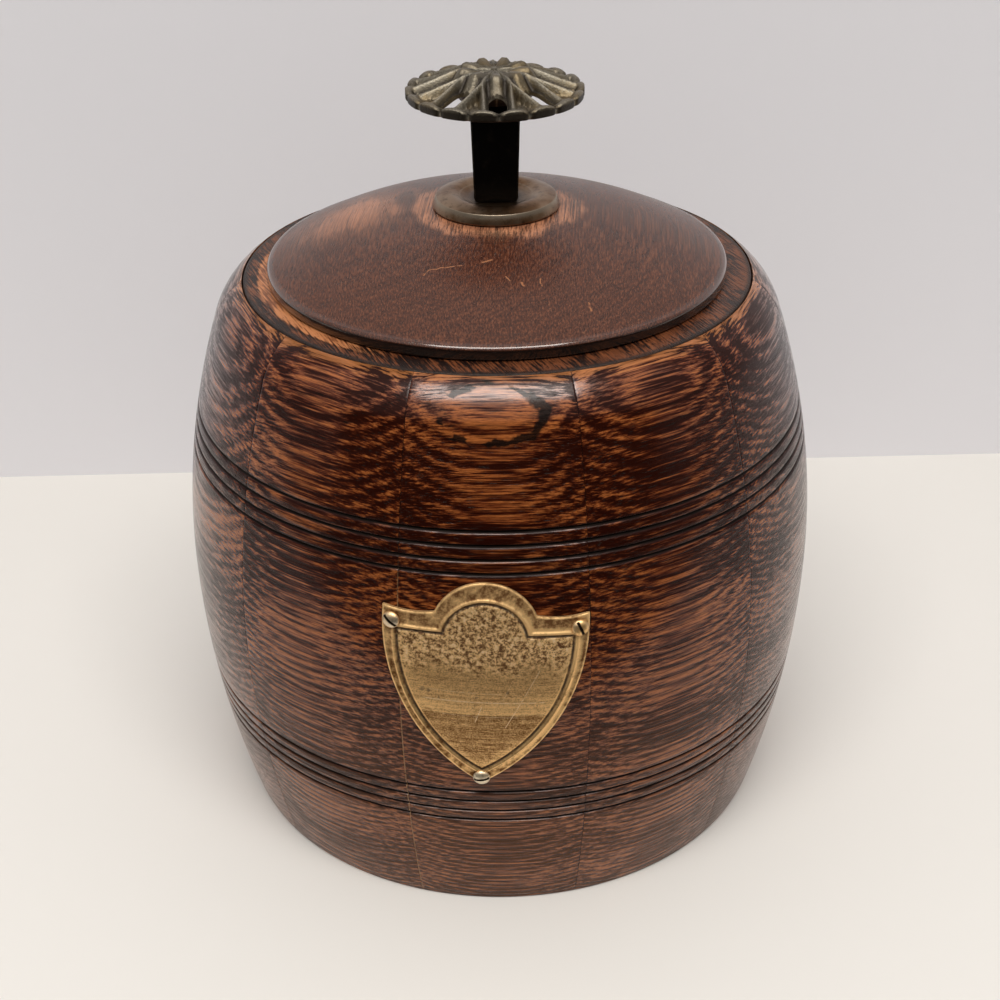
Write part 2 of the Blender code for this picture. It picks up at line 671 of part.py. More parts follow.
def screw_hole(name, frame):
    """Make the pilot hole that runs through the plate and into the wall."""
    top = SCREW_HEAD_HEIGHT
    bottom = -SCREW_SHANK_LENGTH - CLEARANCE
    profile = [(0.0, top), (SCREW_HOLE_RADIUS, top), (SCREW_HOLE_RADIUS, bottom), (0.0, bottom)]
    return add_cutter(name + "_hole", revolve(profile, SMALL_STEPS), frame)


def build_shield_screw(name, frame, body):
    """Build a round-head slotted screw."""
    r, h = SCREW_HEAD_RADIUS, SCREW_HEAD_HEIGHT
    turns = [0.5 * math.pi * n / SCREW_DOME_STEPS for n in range(1, SCREW_DOME_STEPS + 1)]
    profile = [(0.0, h)] + [(r * math.sin(a), h * math.cos(a)) for a in turns]
    profile += [(SCREW_SHANK_RADIUS, 0.0), (SCREW_SHANK_RADIUS, SCREW_POINT - SCREW_SHANK_LENGTH)]
    profile += [(0.0, -SCREW_SHANK_LENGTH)]
    screw = add_piece(name, revolve(profile, SMALL_STEPS), BRIGHT_BRASS, body)
    screw.matrix_basis = frame
    slot = box(4.0 * r, SLOT_WIDTH, 2.0 * SLOT_DEPTH, (0.0, 0.0, h))
    cut(screw, add_cutter(name + "_slot", slot, frame))
    return screw


def main():
    """Build the whole barrel."""
    clear_scene()
    barrel = add_empty("barrel_body", 0.0)
    lid = add_empty("lid_body", BODY_HEIGHT)

    placed = [(name, *screw_frame(across, drop, turn)) for name, across, drop, turn in shield_screws()]
    holes = [(angle, screw_hole(name, frame)) for name, angle, frame in placed]
    reach = SCREW_HOLE_RADIUS / BORE_RADIUS
    for index in range(STAVE_COUNT):
        stave = build_stave(index, barrel)
        start, end = stave_span(index)
        for angle, hole in holes:
            turns = [angle + 2.0 * math.pi * n for n in (0, 1)]
            if any(start - reach < turn < end + reach for turn in turns):
                cut(stave, hole)

    build_mouth_ring(barrel)
    build_base_board(barrel)
    build_liner(barrel)
    build_shield(barrel, [hole for _, hole in holes])
    for name, _, frame in placed:
        build_shield_screw(name, frame, barrel)

    bore = knob_bore()
    build_lid(lid)
    build_backplate(lid)
    build_post(lid, bore)
    build_rosette(lid, bore)
    build_knob_fixing(lid)


main()
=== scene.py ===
"""Looks of a coopered oak biscuit barrel: fine meshes, procedural finishes and a plain stage."""

import math
import random
from functools import partialmethod

import bmesh
import bpy
import numpy as np
from mathutils import Matrix, Vector


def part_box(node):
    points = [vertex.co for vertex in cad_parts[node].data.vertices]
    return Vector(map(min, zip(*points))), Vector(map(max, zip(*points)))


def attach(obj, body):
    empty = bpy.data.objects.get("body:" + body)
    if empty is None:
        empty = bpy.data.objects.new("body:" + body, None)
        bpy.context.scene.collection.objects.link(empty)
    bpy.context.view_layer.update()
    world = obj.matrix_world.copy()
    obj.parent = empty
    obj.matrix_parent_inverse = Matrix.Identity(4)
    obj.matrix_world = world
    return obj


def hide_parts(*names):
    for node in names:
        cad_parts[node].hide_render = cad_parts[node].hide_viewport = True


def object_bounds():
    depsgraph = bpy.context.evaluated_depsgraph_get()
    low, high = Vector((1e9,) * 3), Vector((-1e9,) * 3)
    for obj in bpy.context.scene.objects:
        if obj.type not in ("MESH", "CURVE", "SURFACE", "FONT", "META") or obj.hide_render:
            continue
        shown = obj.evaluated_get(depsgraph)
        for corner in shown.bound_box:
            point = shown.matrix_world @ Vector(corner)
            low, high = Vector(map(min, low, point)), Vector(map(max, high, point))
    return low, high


bl_info = {
    "name": "Coopered Biscuit Barrel",
    "version": (1, 0, 0),
    "blender": (4, 5, 0),
    "location": "View3D > Sidebar > Barrel",
    "description": "Builds the looks of an oak biscuit barrel around its packed frame",
    "category": "Object",
}

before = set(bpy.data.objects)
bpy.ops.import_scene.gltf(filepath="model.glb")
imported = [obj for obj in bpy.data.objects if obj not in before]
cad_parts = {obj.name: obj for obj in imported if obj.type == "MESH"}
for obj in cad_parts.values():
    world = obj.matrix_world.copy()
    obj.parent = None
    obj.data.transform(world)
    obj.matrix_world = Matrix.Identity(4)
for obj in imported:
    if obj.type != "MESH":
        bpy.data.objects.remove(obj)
CAD_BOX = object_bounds()
MM = 0.001
STAVE_NODES = sorted(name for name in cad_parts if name.startswith("stave_"))


def reach(*nodes):
    """Give the least and the greatest distance from the barrel's axis over some CAD nodes."""
    points = [vert.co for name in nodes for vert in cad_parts[name].data.vertices]
    distances = [math.hypot(point.x, point.y) for point in points]
    return min(distances), max(distances)


def foot_and_top(node):
    """Give the lowest and the highest level of a CAD node."""
    low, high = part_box(node)
    return low.z, high.z


# Properties: the sizes and colours that a user would change


def length(name, description, default):
    """Make a length property."""
    return bpy.props.FloatProperty(
        name=name, description=description, default=default, unit="LENGTH", precision=5
    )


def turn(name, description, degrees):
    """Make an angle property."""
    return bpy.props.FloatProperty(
        name=name, description=description, default=math.radians(degrees), subtype="ANGLE"
    )


def number(name, description, default, unit="NONE"):
    """Make a number property, plain or with a unit."""
    return bpy.props.FloatProperty(name=name, description=description, default=default, unit=unit)


def count(name, description, default):
    """Make a whole-number property."""
    return bpy.props.IntProperty(name=name, description=description, default=default, min=1)


def colour(name, description, default):
    """Make a colour property."""
    return bpy.props.FloatVectorProperty(
        name=name, description=description, default=default, subtype="COLOR", size=3, min=0.0, max=1.0
    )


class BarrelSizes(bpy.types.PropertyGroup):
    """Sizes of the barrel's body and of what is let into it."""

    body_height: length("Body height", "Foot to the top of the mouth ring", foot_and_top("mouth_ring")[1])
    belly_radius: length("Belly radius", "Widest radius of the staves", 0.07985)
    belly_height: length("Belly height", "Level of the widest part", 0.0675)
    foot_radius: length("Foot radius", "Radius of the staves at the foot", 0.0704)
    foot_round: length("Foot round", "Rounding of the foot's outer edge", 0.0006)
    ring_radius: length("Ring radius", "Outer radius of the mouth ring", reach("mouth_ring")[1])
    mouth_radius: length("Mouth radius", "Inner radius of the mouth ring", reach("mouth_ring")[0])
    ring_foot: length("Ring foot", "Level of the mouth ring's underside", foot_and_top("mouth_ring")[0])
    ring_round: length("Ring round", "Rounding of the mouth ring's edges", 0.0006)
    shoulder_run: length("Shoulder run", "How far the shoulder stands out beyond the ring", 0.0075)
    shoulder_rise: length("Shoulder rise", "How far the shoulder starts below the top", 0.0095)
    fit: length("Fit", "Gap between pieces that are glued or bedded", 0.0003)
    bore_radius: length("Bore radius", "Radius of the bore in the staves", 0.0578)
    board_radius: length("Board radius", "Radius of the base board", reach("base_board")[1])
    board_top: length("Board top", "Level of the base board's upper face", foot_and_top("base_board")[1])
    joint_gap: length("Joint gap", "Gap between two staves", 0.00006)
    joint_sink: length("Joint sink", "How far a stave's edge is worn down at a joint", 0.00005)
    joint_run: length("Joint run", "How far from a joint the wear reaches", 0.0004)
    front_joint: turn("Front joint", "Angle of the front stave's left joint", -16.9)
    front_stave: turn("Front stave", "Angle that the front stave takes up", 31.3)
    grooves: count("Grooves", "Turned grooves in each band", 4)
    groove_pitch: length("Groove pitch", "Distance between two grooves", 0.0032)
    groove_width: length("Groove width", "Width of a groove", 0.00095)
    groove_depth: length("Groove depth", "Depth of a groove", 0.0007)
    upper_groove: length("Upper groove", "Level of the upper band's top groove", 0.1092)
    lower_groove: length("Lower groove", "Level of the lower band's top groove", 0.0405)


class LinerSizes(bpy.types.PropertyGroup):
    """Sizes of the glazed pot inside the barrel."""

    radius: length("Radius", "Outer radius of the pot", reach("liner")[1])
    foot: length("Foot", "Level of its underside", foot_and_top("liner")[0])
    top: length("Top", "Level of its lip", foot_and_top("liner")[1])
    wall: length("Wall", "Thickness of its wall", 0.0040)
    floor: length("Floor", "Thickness of its floor", 0.0050)
    corner: length("Corner", "Radius between wall and floor inside", 0.0080)
    lip: length("Lip", "Rounding of its edges", 0.0018)


class LidSizes(bpy.types.PropertyGroup):
    """Sizes of the domed lid."""

    radius: length("Radius", "Outer radius of the lid", reach("lid")[1])
    bottom: length("Bottom", "Level of the lid's rim on the mouth ring", 0.1403)
    edge: length("Edge", "Height of the rim below the dome", 0.0026)
    rise: length("Rise", "How far the dome rises above the rim", 0.0129)
    fullness: number("Fullness", "How flat the middle of the dome is", 2.4)
    lip: length("Lip", "Rounding of the upper edge", 0.0013)
    spigot_radius: length("Spigot radius", "Radius of the part that drops into the mouth", 0.0495)
    spigot_bottom: length("Spigot bottom", "Level of the spigot's underside", foot_and_top("lid")[0])
    seat_radius: length("Seat radius", "Radius of the flat under the backplate", 0.0155)
    bore_radius: length("Bore radius", "Radius of the hole for the knob's screw", reach("lid")[0])
    recess_radius: length("Recess radius", "Radius of the recess for the washer", 0.0065)
    recess_depth: length("Recess depth", "Depth of the recess for the washer", 0.0060)


class KnobSizes(bpy.types.PropertyGroup):
    """Sizes of the knob: backplate, post, rosette and fixing."""

    plate_radius: length("Plate radius", "Radius of the backplate", reach("knob_backplate")[1])
    plate_foot: length("Plate foot", "Level of its underside", foot_and_top("knob_backplate")[0])
    plate_edge: length("Plate edge", "Height of the backplate's outer arris", 0.0025)
    plate_batter: length("Plate batter", "How far the arris stands in from the foot", 0.0008)
    plate_rise: length("Plate rise", "Height of the backplate's crest", 0.0034)
    plate_floor: length("Plate floor", "Thickness of the dished middle", 0.0020)
    plate_crest: length("Plate crest", "Radius of the crest", 0.0108)
    plate_hollow: length("Plate hollow", "Radius of the dished middle", 0.0066)
    post_foot: length("Post foot", "Level of the post's foot", foot_and_top("knob_post")[0])
    post_top: length("Post top", "Level of the post's top", foot_and_top("knob_post")[1])
    post_foot_width: length("Post foot width", "Width of the post at its foot", 0.0103)
    post_top_width: length("Post top width", "Width of the post at its top", 0.0116)
    post_chamfer: length("Post chamfer", "Cut corner of the post", 0.0010)
    rosette_radius: length("Rosette radius", "Radius of the rosette", 0.0207)
    rosette_foot: length("Rosette foot", "Level of its underside", foot_and_top("knob_rosette")[0])
    rosette_top: length("Rosette top", "Level of its highest bumps", foot_and_top("knob_rosette")[1])
    rosette_rim: length("Rosette rim", "Thickness of the rosette's rim", 0.0024)
    rosette_rim_width: length("Rosette rim width", "Width of the solid rim", 0.0014)
    rosette_lobe: length("Rosette lobe", "How far the rim's lobes rise above its clefts", 0.0013)
    rosette_notch: length("Rosette notch", "How deep the clefts cut into the rim", 0.0006)
    rosette_hollow: length("Rosette hollow", "Depth of the hollow underside", 0.0032)
    rosette_petals: count("Rosette petals", "Petals round the rosette", 9)
    rosette_turn: turn("Rosette turn", "Turn of the front channel", 2.5)
    hub_radius: length("Hub radius", "Radius of the ring of bumps", 0.0075)
    hub_sink: length("Hub sink", "How far the middle is sunk", 0.0008)
    finger_foot: length("Finger foot", "Height of a finger's foot above the rim", 0.0009)
    groove_out: length("Groove out", "A finger's middle to the groove beside it", 0.0019)
    groove_depth: length("Groove depth", "Depth of the groove beside a finger", 0.0013)
    ridge_out: length("Ridge out", "A finger's middle to the ridge beside it", 0.0032)
    ridge_drop: length("Ridge drop", "How far the ridges start below the fingers", 0.0006)
    ridge_width: length("Ridge width", "Width of a ridge's outer slope", 0.0013)
    cup_radius: length("Cup radius", "Radius where a petal is lowest", 0.0155)
    cup_depth: length("Cup depth", "How far a petal sinks below the rim", 0.0009)
    fold_depth: length("Fold depth", "Depth of the fine folds on the petals", 0.00016)
    fold_pitch: length("Fold pitch", "Distance between two folds", 0.0012)
    piercing_end: length("Piercing end", "Radius where a pierced opening ends", 0.0187)
    piercing_length: length("Piercing length", "Length of a pierced opening", 0.0083)
    piercing_width: length("Piercing width", "Width of a pierced opening", 0.0042)
    screw_radius: length("Screw radius", "Shank radius of the knob's screw", 0.0020)
    screw_head_radius: length("Screw head radius", "Radius of that screw's head", reach("knob_screw")[1])
    screw_slot: length("Screw slot", "Width of the slot in the knob's screw", 0.0010)


class ShieldSizes(bpy.types.PropertyGroup):
    """Sizes of the stamped shield and its screws."""

    half_width: length("Half width", "Half of the shield's width", 0.0232)
    height: length("Height", "Top of the lobe to the point", 0.0535)
    top: length("Top", "Level of the top of the lobe", 0.0982)
    angle: turn("Angle", "Where the shield sits, from the front", -3.0)
    tilt: turn("Tilt", "How far the shield hangs out of true", 1.9)
    shoulder_drop: length("Shoulder drop", "Top of the lobe to the shoulders", 0.0077)
    shoulder_sag: length("Shoulder sag", "How far the shoulders are hollow", 0.0006)
    lobe_half_width: length("Lobe half width", "Half of the lobe's width", 0.0114)
    side_straight: length("Straight side", "Straight stretch below the shoulders", 0.0024)
    thickness: length("Thickness", "Thickness of the plate", 0.0009)
    panel_half_width: length("Panel half width", "Half width of the stamped line", 0.0197)
    panel_drop: length("Panel drop", "Top of the lobe to the stamped shoulders", 0.0127)
    panel_point: length("Panel point", "Top of the lobe to the stamped point", 0.0493)
    panel_lobe_top: length("Panel lobe top", "Top of the lobe to the stamped lobe", 0.0049)
    panel_lobe_half_width: length("Panel lobe half width", "Half width of the stamped lobe", 0.0093)
    bead_height: length("Bead height", "How far the bead stands proud", 0.00030)
    bead_half_width: length("Bead half width", "Half of the bead's width", 0.00055)
    line_depth: length("Line depth", "Depth of the stamped line", 0.00032)
    line_half_width: length("Line half width", "Half of the stamped line's width", 0.00055)
    screw_inset: length("Screw inset", "Side screws in from the edge", 0.0023)
    screw_drop: length("Screw drop", "Top of the lobe to the side screws", 0.0109)
    screw_rise: length("Screw rise", "Point to the bottom screw", 0.0022)
    head_radius: length("Head radius", "Radius of a screw's head", 0.0020)
    head_height: length("Head height", "Height of a screw's head", 0.0011)
    shank_radius: length("Shank radius", "Radius of a screw's shank", 0.0010)
    shank_length: length("Shank length", "Length of a screw's shank", 0.0090)
    shank_point: length("Shank point", "Length of a screw's point", 0.0027)
    slot_width: length("Slot width", "Width of a screw's slot", 0.00055)
    slot_depth: length("Slot depth", "Depth of a screw's slot", 0.00055)
    left_slot: turn("Left slot", "Turn of the left screw's slot", -40.0)
    right_slot: turn("Right slot", "Turn of the right screw's slot", -68.0)
    bottom_slot: turn("Bottom slot", "Turn of the bottom screw's slot", 8.0)


class OakColours(bpy.types.PropertyGroup):
    """Colours of the varnished and the bare oak."""

    stave_late: colour("Stave late wood", "Dense wood between the pore lines", (0.380, 0.112, 0.027))
    stave_warm: colour("Stave warm wood", "Redder patches of the staves", (0.105, 0.0200, 0.0055))
    stave_early: colour("Stave early wood", "Stained pore lines", (0.0150, 0.0020, 0.0007))
    stave_bare: colour("Stave bare wood", "Rubbed top edge of the staves", (0.430, 0.155, 0.040))
    stave_worn: colour("Stave worn wood", "Staves towards their worn foot", (0.300, 0.120, 0.032))
    # Also the near-black of the painted shade on the lid's lip
    pore: colour("Pore", "Black filling of the pores", (0.0050, 0.0027, 0.0020))
    glue_pale: colour("Pale glue", "Dried glue in the front joint", (0.420, 0.230, 0.105))
    ring_late: colour("Ring late wood", "Dense wood of the mouth ring", (0.150, 0.046, 0.017))
    ring_early: colour("Ring early wood", "Stained pores of the mouth ring", (0.010, 0.004, 0.003))
    ring_worn: colour("Ring worn wood", "Mouth ring where the varnish has gone", (0.480, 0.190, 0.075))
    lid_late: colour("Lid late wood", "Dense wood of the lid", (0.092, 0.0280, 0.0135))
    lid_early: colour("Lid early wood", "Stained pores of the lid", (0.028, 0.0095, 0.0070))
    # Also paints the reflection in the lighter patch on the lid's left
    lid_worn_and_sheen: colour("Lid worn wood", "Lid where the varnish is thin", (0.430, 0.180, 0.092))
    bare_late: colour("Bare late wood", "Dense wood of the base board", (0.420, 0.250, 0.125))
    bare_early: colour("Bare early wood", "Pores of the base board", (0.190, 0.100, 0.048))


class FittingColours(bpy.types.PropertyGroup):
    """Colours of the metal fittings and of the glaze."""

    brass: colour("Brass", "Clean brass of the shield", (0.890, 0.560, 0.240))
    brass_brown: colour("Brown brass", "Tarnished brass of the shield", (0.165, 0.068, 0.018))
    brass_pale: colour("Pale brass", "Scratches of the shield", (0.950, 0.720, 0.450))
    brass_rust: colour("Rusty brass", "Reddish specks of the shield", (0.085, 0.030, 0.011))
    # Also paints the shade in the screw slots and round the knob post's foot
    brass_dirt_and_shade: colour("Brass dirt", "Dirt in the stamped line", (0.022, 0.011, 0.005))
    screw: colour("Screw brass", "Worn heads of the shield's screws", (0.800, 0.680, 0.500))
    bronze: colour("Bronze", "Brown patina of the backplate", (0.300, 0.205, 0.135))
    bronze_warm: colour("Warm bronze", "Redder patches of the backplate", (0.190, 0.100, 0.048))
    bronze_rub: colour("Rubbed bronze", "Rubbed edges of the backplate", (0.330, 0.270, 0.200))
    post: colour("Post black", "Black finish of the post", (0.0012, 0.0011, 0.0010))
    rosette: colour("Rosette brass", "Dull brass of the rosette", (0.165, 0.142, 0.106))
    rosette_warm: colour("Warm rosette brass", "Yellower patches of the rosette", (0.180, 0.138, 0.082))
    rosette_dark: colour("Rosette dark", "Dark patina in the hollows", (0.028, 0.021, 0.014))
    rosette_rub: colour("Rosette rubbed", "Rubbed high points of the rosette", (0.340, 0.308, 0.245))
    steel: colour("Steel", "Steel of the knob's screw and washer", (0.480, 0.470, 0.450))
    glaze: colour("Glaze", "Cream glaze of the pot", (0.780, 0.730, 0.620))
    glaze_pool: colour("Glaze pool", "Thicker glaze in the corners", (0.620, 0.520, 0.360))


class StageSettings(bpy.types.PropertyGroup):
    """The floor, the backdrop, the light and the camera."""

    floor: colour("Floor", "Colour of the floor", (0.795, 0.765, 0.718))
    wall: colour("Backdrop", "Colour of the backdrop", (0.800, 0.785, 0.810))
    wall_distance: length("Backdrop distance", "Barrel's axis to the backdrop", 0.1528)
    wall_turn: turn("Backdrop turn", "Turn of the backdrop about the upright", 1.3)
    camera_back: length("Camera back", "Barrel's axis to the camera, level", 0.3766)
    camera_height: length("Camera height", "Floor to the camera", 0.2919)
    camera_pitch: turn("Camera pitch", "How far the camera looks down", 30.08)
    camera_roll: turn("Camera roll", "How far the camera leans", -0.73)
    camera_lens: number("Camera lens", "Focal length on a 36 mm sensor", 59.4, "CAMERA")
    lamp_power: number("Lamp power", "Power of the soft lamp above the camera", 10.4, "POWER")
    lamp_width: length("Lamp width", "Width of the soft lamp", 0.95)
    lamp_depth: length("Lamp depth", "Depth of the soft lamp", 0.38)
    lamp_reach: length("Lamp distance", "Barrel to the soft lamp", 1.10)
    lamp_height: turn("Lamp elevation", "Height of the soft lamp above the horizon", 61.0)
    sky: number("Sky", "Strength of the soft light from above", 0.62)
    horizon: number("Horizon", "Strength of the light from the sides", 0.25)
    table_edge: length("Table edge", "Barrel's axis to where the pale floor ends in reflections", 0.165)
    room_depth: length("Room depth", "Barrel's axis to the far end of the dark room in reflections", 0.90)
    room_height: length("Room height", "Height of the dark room in reflections", 0.50)


# Shader wiring


class Wiring:
    """Adds nodes to a shader tree and joins them, so that a finish reads as a list of steps."""

    def __init__(self, tree):
        self.tree = tree

    def feed(self, socket, value):
        """Link a socket to another one, or set its value."""
        if isinstance(value, bpy.types.NodeSocket):
            self.tree.links.new(value, socket)
        elif value is not None:
            socket.default_value = value

    def add(self, kind, values, **settings):
        """Add a node with its settings and inputs."""
        node = self.tree.nodes.new(kind)
        for name, value in settings.items():
            setattr(node, name, value)
        for socket, value in dict(values).items():
            self.feed(node.inputs[socket], value)
        return node

    def math(self, operation, *values):
        """Work out one number from others."""
        return self.add("ShaderNodeMath", enumerate(values), operation=operation).outputs[0]

    # Sums of two numbers; scaled takes a number, its factor and what is added to it
    times = partialmethod(math, "MULTIPLY")
    plus = partialmethod(math, "ADD")
    minus = partialmethod(math, "SUBTRACT")
    most = partialmethod(math, "MAXIMUM")
    least = partialmethod(math, "MINIMUM")
    scaled = partialmethod(math, "MULTIPLY_ADD")

    def stirred(self, value, cloud, amount):
        """Shift a number by cloudy noise, which swings about a half."""
        return self.scaled(self.minus(cloud, 0.5), amount, value)

    def vector(self, operation, first, second=None, output=0):
        """Work out one vector from others."""
        node = self.add("ShaderNodeVectorMath", {0: first, 1: second}, operation=operation)
        return node.outputs[output]

    def step(self, value, low, high, start=0.0, end=1.0):
        """Go smoothly from start to end while a value goes from low to high."""
        values = {"Value": value, "From Min": low, "From Max": high, "To Min": start, "To Max": end}
        return self.add("ShaderNodeMapRange", values, interpolation_type="SMOOTHSTEP").outputs[0]

    def mix(self, share, first, second):
        """Mix two colours."""
        first, second = (shade(c) if len_of(c) == 3 else c for c in (first, second))
        return self.add("ShaderNodeMix", {0: share, 6: first, 7: second}, data_type="RGBA").outputs[2]

    def between(self, share, first, second):
        """Go from one number to another by a share."""
        return self.add("ShaderNodeMix", {0: share, 2: first, 3: second}).outputs[0]

    def stretch(self, point, factors):
        """Stretch a point by one factor, or by one for each way."""
        factors = (factors,) * 3 if isinstance(factors, float) else factors
        return self.vector("MULTIPLY", point, factors)

    def noise(self, point, factors, detail=2.0, roughness=0.5):
        """Read cloudy noise, with so many cycles per millimetre."""
        point = self.stretch(point, factors)
        values = {"Vector": point, "Scale": 1.0, "Detail": detail, "Roughness": roughness}
        return self.add("ShaderNodeTexNoise", values).outputs[0]

    def cells(self, point, factors, feature="F1"):
        """Read the distance to scattered points, with so many of them per millimetre."""
        values = {"Vector": self.stretch(point, factors), "Scale": 1.0}
        return self.add("ShaderNodeTexVoronoi", values, feature=feature).outputs[0]

    def attribute(self, name, output="Fac"):
        """Read a value that the mesh carries."""
        return self.add("ShaderNodeAttribute", {}, attribute_name=name).outputs[output]

    def place(self):
        """Give the place on the piece in millimetres."""
        return self.stretch(self.add("ShaderNodeTexCoord", {}).outputs["Object"], 1.0 / MM)

    def split(self, vector):
        """Give the three parts of a vector."""
        return self.add("ShaderNodeSeparateXYZ", {0: vector}).outputs

    def join(self, x, y, z):
        """Make a vector from its three parts."""
        return self.add("ShaderNodeCombineXYZ", {0: x, 1: y, 2: z}).outputs[0]

    def dress(self, node, **values):
        """Link or set a node's inputs by name; a space in a name is written as an underscore."""
        for name, value in values.items():
            self.feed(node.inputs[name.replace("_", " ")], value)

    def group(self, group, **values):
        """Place a node group with its own values."""
        node = self.add("ShaderNodeGroup", {}, node_tree=group)
        self.dress(node, **values)
        return node.outputs

    def bump(self, height, depth, strength=1.0):
        """Turn a height from 0 to 1 into a normal, with its depth in metres."""
        values = {"Strength": strength, "Distance": depth, "Height": height}
        return self.add("ShaderNodeBump", values).outputs[0]


def shade(colour_values):
    """Give a colour with full alpha."""
    return (*colour_values, 1.0)


def len_of(value):
    """Give the length of a colour or vector, or 0 for a socket."""
    return 0 if isinstance(value, bpy.types.NodeSocket) else len(value)


def new_group(name, inputs, outputs):
    """Start a shader node group and give it with its wiring, its inputs and its output node."""
    group = bpy.data.node_groups.new(name, "ShaderNodeTree")
    for label, kind, default in inputs:
        socket = group.interface.new_socket(name=label, in_out="INPUT", socket_type="NodeSocket" + kind)
        socket.default_value = default
    for label in outputs:
        group.interface.new_socket(name=label, in_out="OUTPUT", socket_type="NodeSocketFloat")
    wires = Wiring(group)
    entry = group.nodes.new("NodeGroupInput")
    leave = group.nodes.new("NodeGroupOutput")
    return group, wires, entry.outputs, leave.inputs


def once(name, build):
    """Give a node group or build it the first time."""
    return bpy.data.node_groups.get(name) or build(name)


def build_oak_figure(name):
    """Growth rings, streaks, pores and fibres of oak.

    In a board's coordinates X runs along the fibres and Z across the rings.
    """
    inputs = [
        ("Board", "Vector", (0.0, 0.0, 0.0)),
        ("Pitch", "Float", 1.3),
        ("Wander", "Float", 0.8),
        ("Break", "Float", 2.0),
        ("Pull", "Float", 0.12),
    ]
    group, wires, into, out = new_group(name, inputs, ["Ring", "Streak", "Pore", "Fibre", "Tone"])
    board = into["Board"]
    slow = wires.noise(board, (0.012, 0.035, 0.035), 2.0)
    sway = wires.noise(board, (0.07, 0.24, 0.24), 2.0)
    bend = wires.plus(slow, wires.scaled(sway, 0.7, -0.85))
    reach_out = wires.times(into["Wander"], 2.0)
    across = wires.scaled(bend, reach_out, wires.split(board)[2])
    phase = wires.math("DIVIDE", across, into["Pitch"])
    wave = wires.math("COSINE", wires.times(phase, 2.0 * math.pi))
    gaps = wires.noise(board, (0.075, 0.42, 0.42), 1.0)
    fleck = wires.noise(board, (0.20, 1.25, 1.25), 2.0, 0.6)
    dash = wires.scaled(fleck, 0.6, wires.minus(gaps, 0.8))
    level = wires.scaled(dash, into["Break"], wires.times(wave, 0.4))
    ring = wires.step(level, -0.12, 0.24)
    streak = wires.noise(board, (0.048, 2.1, 2.1), 4.0, 0.64)
    streak = wires.minus(streak, wires.times(wave, into["Pull"]))
    pore = wires.step(wires.cells(board, (0.16, 2.6, 2.6)), 0.14, 0.34, 1.0, 0.0)
    wires.feed(out["Ring"], ring)
    wires.feed(out["Streak"], streak)
    wires.feed(out["Pore"], wires.times(pore, wires.scaled(ring, 0.6, 0.4)))
    wires.feed(out["Fibre"], wires.noise(board, (0.40, 5.5, 5.5), 3.0, 0.65))
    wires.feed(out["Tone"], wires.noise(board, (0.022, 0.09, 0.09), 3.0, 0.55))
    return group


def build_scratch(name):
    """One scratch: a fine, broken line between two points of a flat map in millimetres."""
    inputs = [
        ("Point", "Vector", (0.0, 0.0, 0.0)),
        ("Start", "Vector", (0.0, 0.0, 0.0)),
        ("End", "Vector", (1.0, 0.0, 0.0)),
        ("Width", "Float", 0.12),
        ("Waver", "Float", 0.0),
    ]
    group, wires, into, out = new_group(name, inputs, ["Mask"])
    shift = wires.noise(into["Point"], 0.5, 1.0)
    shift = wires.times(wires.minus(shift, 0.5), into["Waver"])
    point = wires.vector("ADD", into["Point"], wires.join(shift, shift, 0.0))
    run = wires.vector("SUBTRACT", into["End"], into["Start"])
    rest = wires.vector("SUBTRACT", point, into["Start"])
    along = wires.vector("DOT_PRODUCT", rest, run, "Value")
    along = wires.math("DIVIDE", along, wires.vector("DOT_PRODUCT", run, run, "Value"))
    along = wires.least(wires.most(along, 0.0), 1.0)
    foot = wires.vector("MULTIPLY", run, wires.join(along, along, along))
    away = wires.vector("LENGTH", wires.vector("SUBTRACT", rest, foot), None, "Value")
    line = wires.step(away, wires.times(into["Width"], 0.4), into["Width"], 1.0, 0.0)
    gaps = wires.step(wires.noise(into["Point"], 0.7, 2.0), 0.30, 0.50)
    wires.feed(out["Mask"], wires.times(line, gaps))
    return group


def build_tarnish(name):
    """Blotches and fine specks of tarnish on metal."""
    inputs = [("Point", "Vector", (0.0, 0.0, 0.0)), ("Blotch", "Float", 1.0), ("Amount", "Float", 0.5)]
    group, wires, into, out = new_group(name, inputs, ["Blotch", "Speck", "Grain"])
    blotch = into["Blotch"]
    point = wires.vector("MULTIPLY", into["Point"], wires.join(blotch, blotch, blotch))
    cloud = wires.noise(point, 0.35, 5.0, 0.65)
    low = wires.minus(0.92, into["Amount"])
    wires.feed(out["Blotch"], wires.step(cloud, low, wires.plus(low, 0.18)))
    speck = wires.cells(point, 1.1)
    wires.feed(out["Speck"], wires.step(speck, 0.10, 0.26, 1.0, 0.0))
    wires.feed(out["Grain"], wires.noise(point, 3.5, 3.0, 0.6))
    return group


def oak_figure(wires, **values):
    """Place the oak figure in the coordinates that a board carries."""
    board = wires.attribute("board", "Vector")
    return wires.group(once("Oak figure", build_oak_figure), Board=board, **values)


def scratches(wires, point, lines, waver=0.0):
    """Give the marks of some scratches on a flat map."""
    marks = 0.0
    for start, end, width in lines:
        ends = {"Start": (*start, 0.0), "End": (*end, 0.0)}
        line = wires.group(once("Scratch", build_scratch), Point=point, Width=width, Waver=waver, **ends)
        marks = wires.most(marks, line["Mask"])
    return marks


def new_finish(name):
    """Start a material and give it with its wiring and its shader."""
    material = bpy.data.materials.new(name)
    material.use_nodes = True
    return material, Wiring(material.node_tree), material.node_tree.nodes["Principled BSDF"]


STAVE_PITCH = 1.28
VARNISH_TINT = (1.0, 0.86, 0.76)
# Levels on the staves, in millimetres, between which their finish changes
WORN_FOOT = (18.0, 85.0)
DARK_SHOULDER = (86.0, 112.0)
PALE_GLUE_END = (92.0, 104.0)
FULL_VARNISH = (100.0, 128.0)
SMOOTH_SHOULDER = (125.0, 132.0)
RUBBED_TOP = (138.6, 139.7)


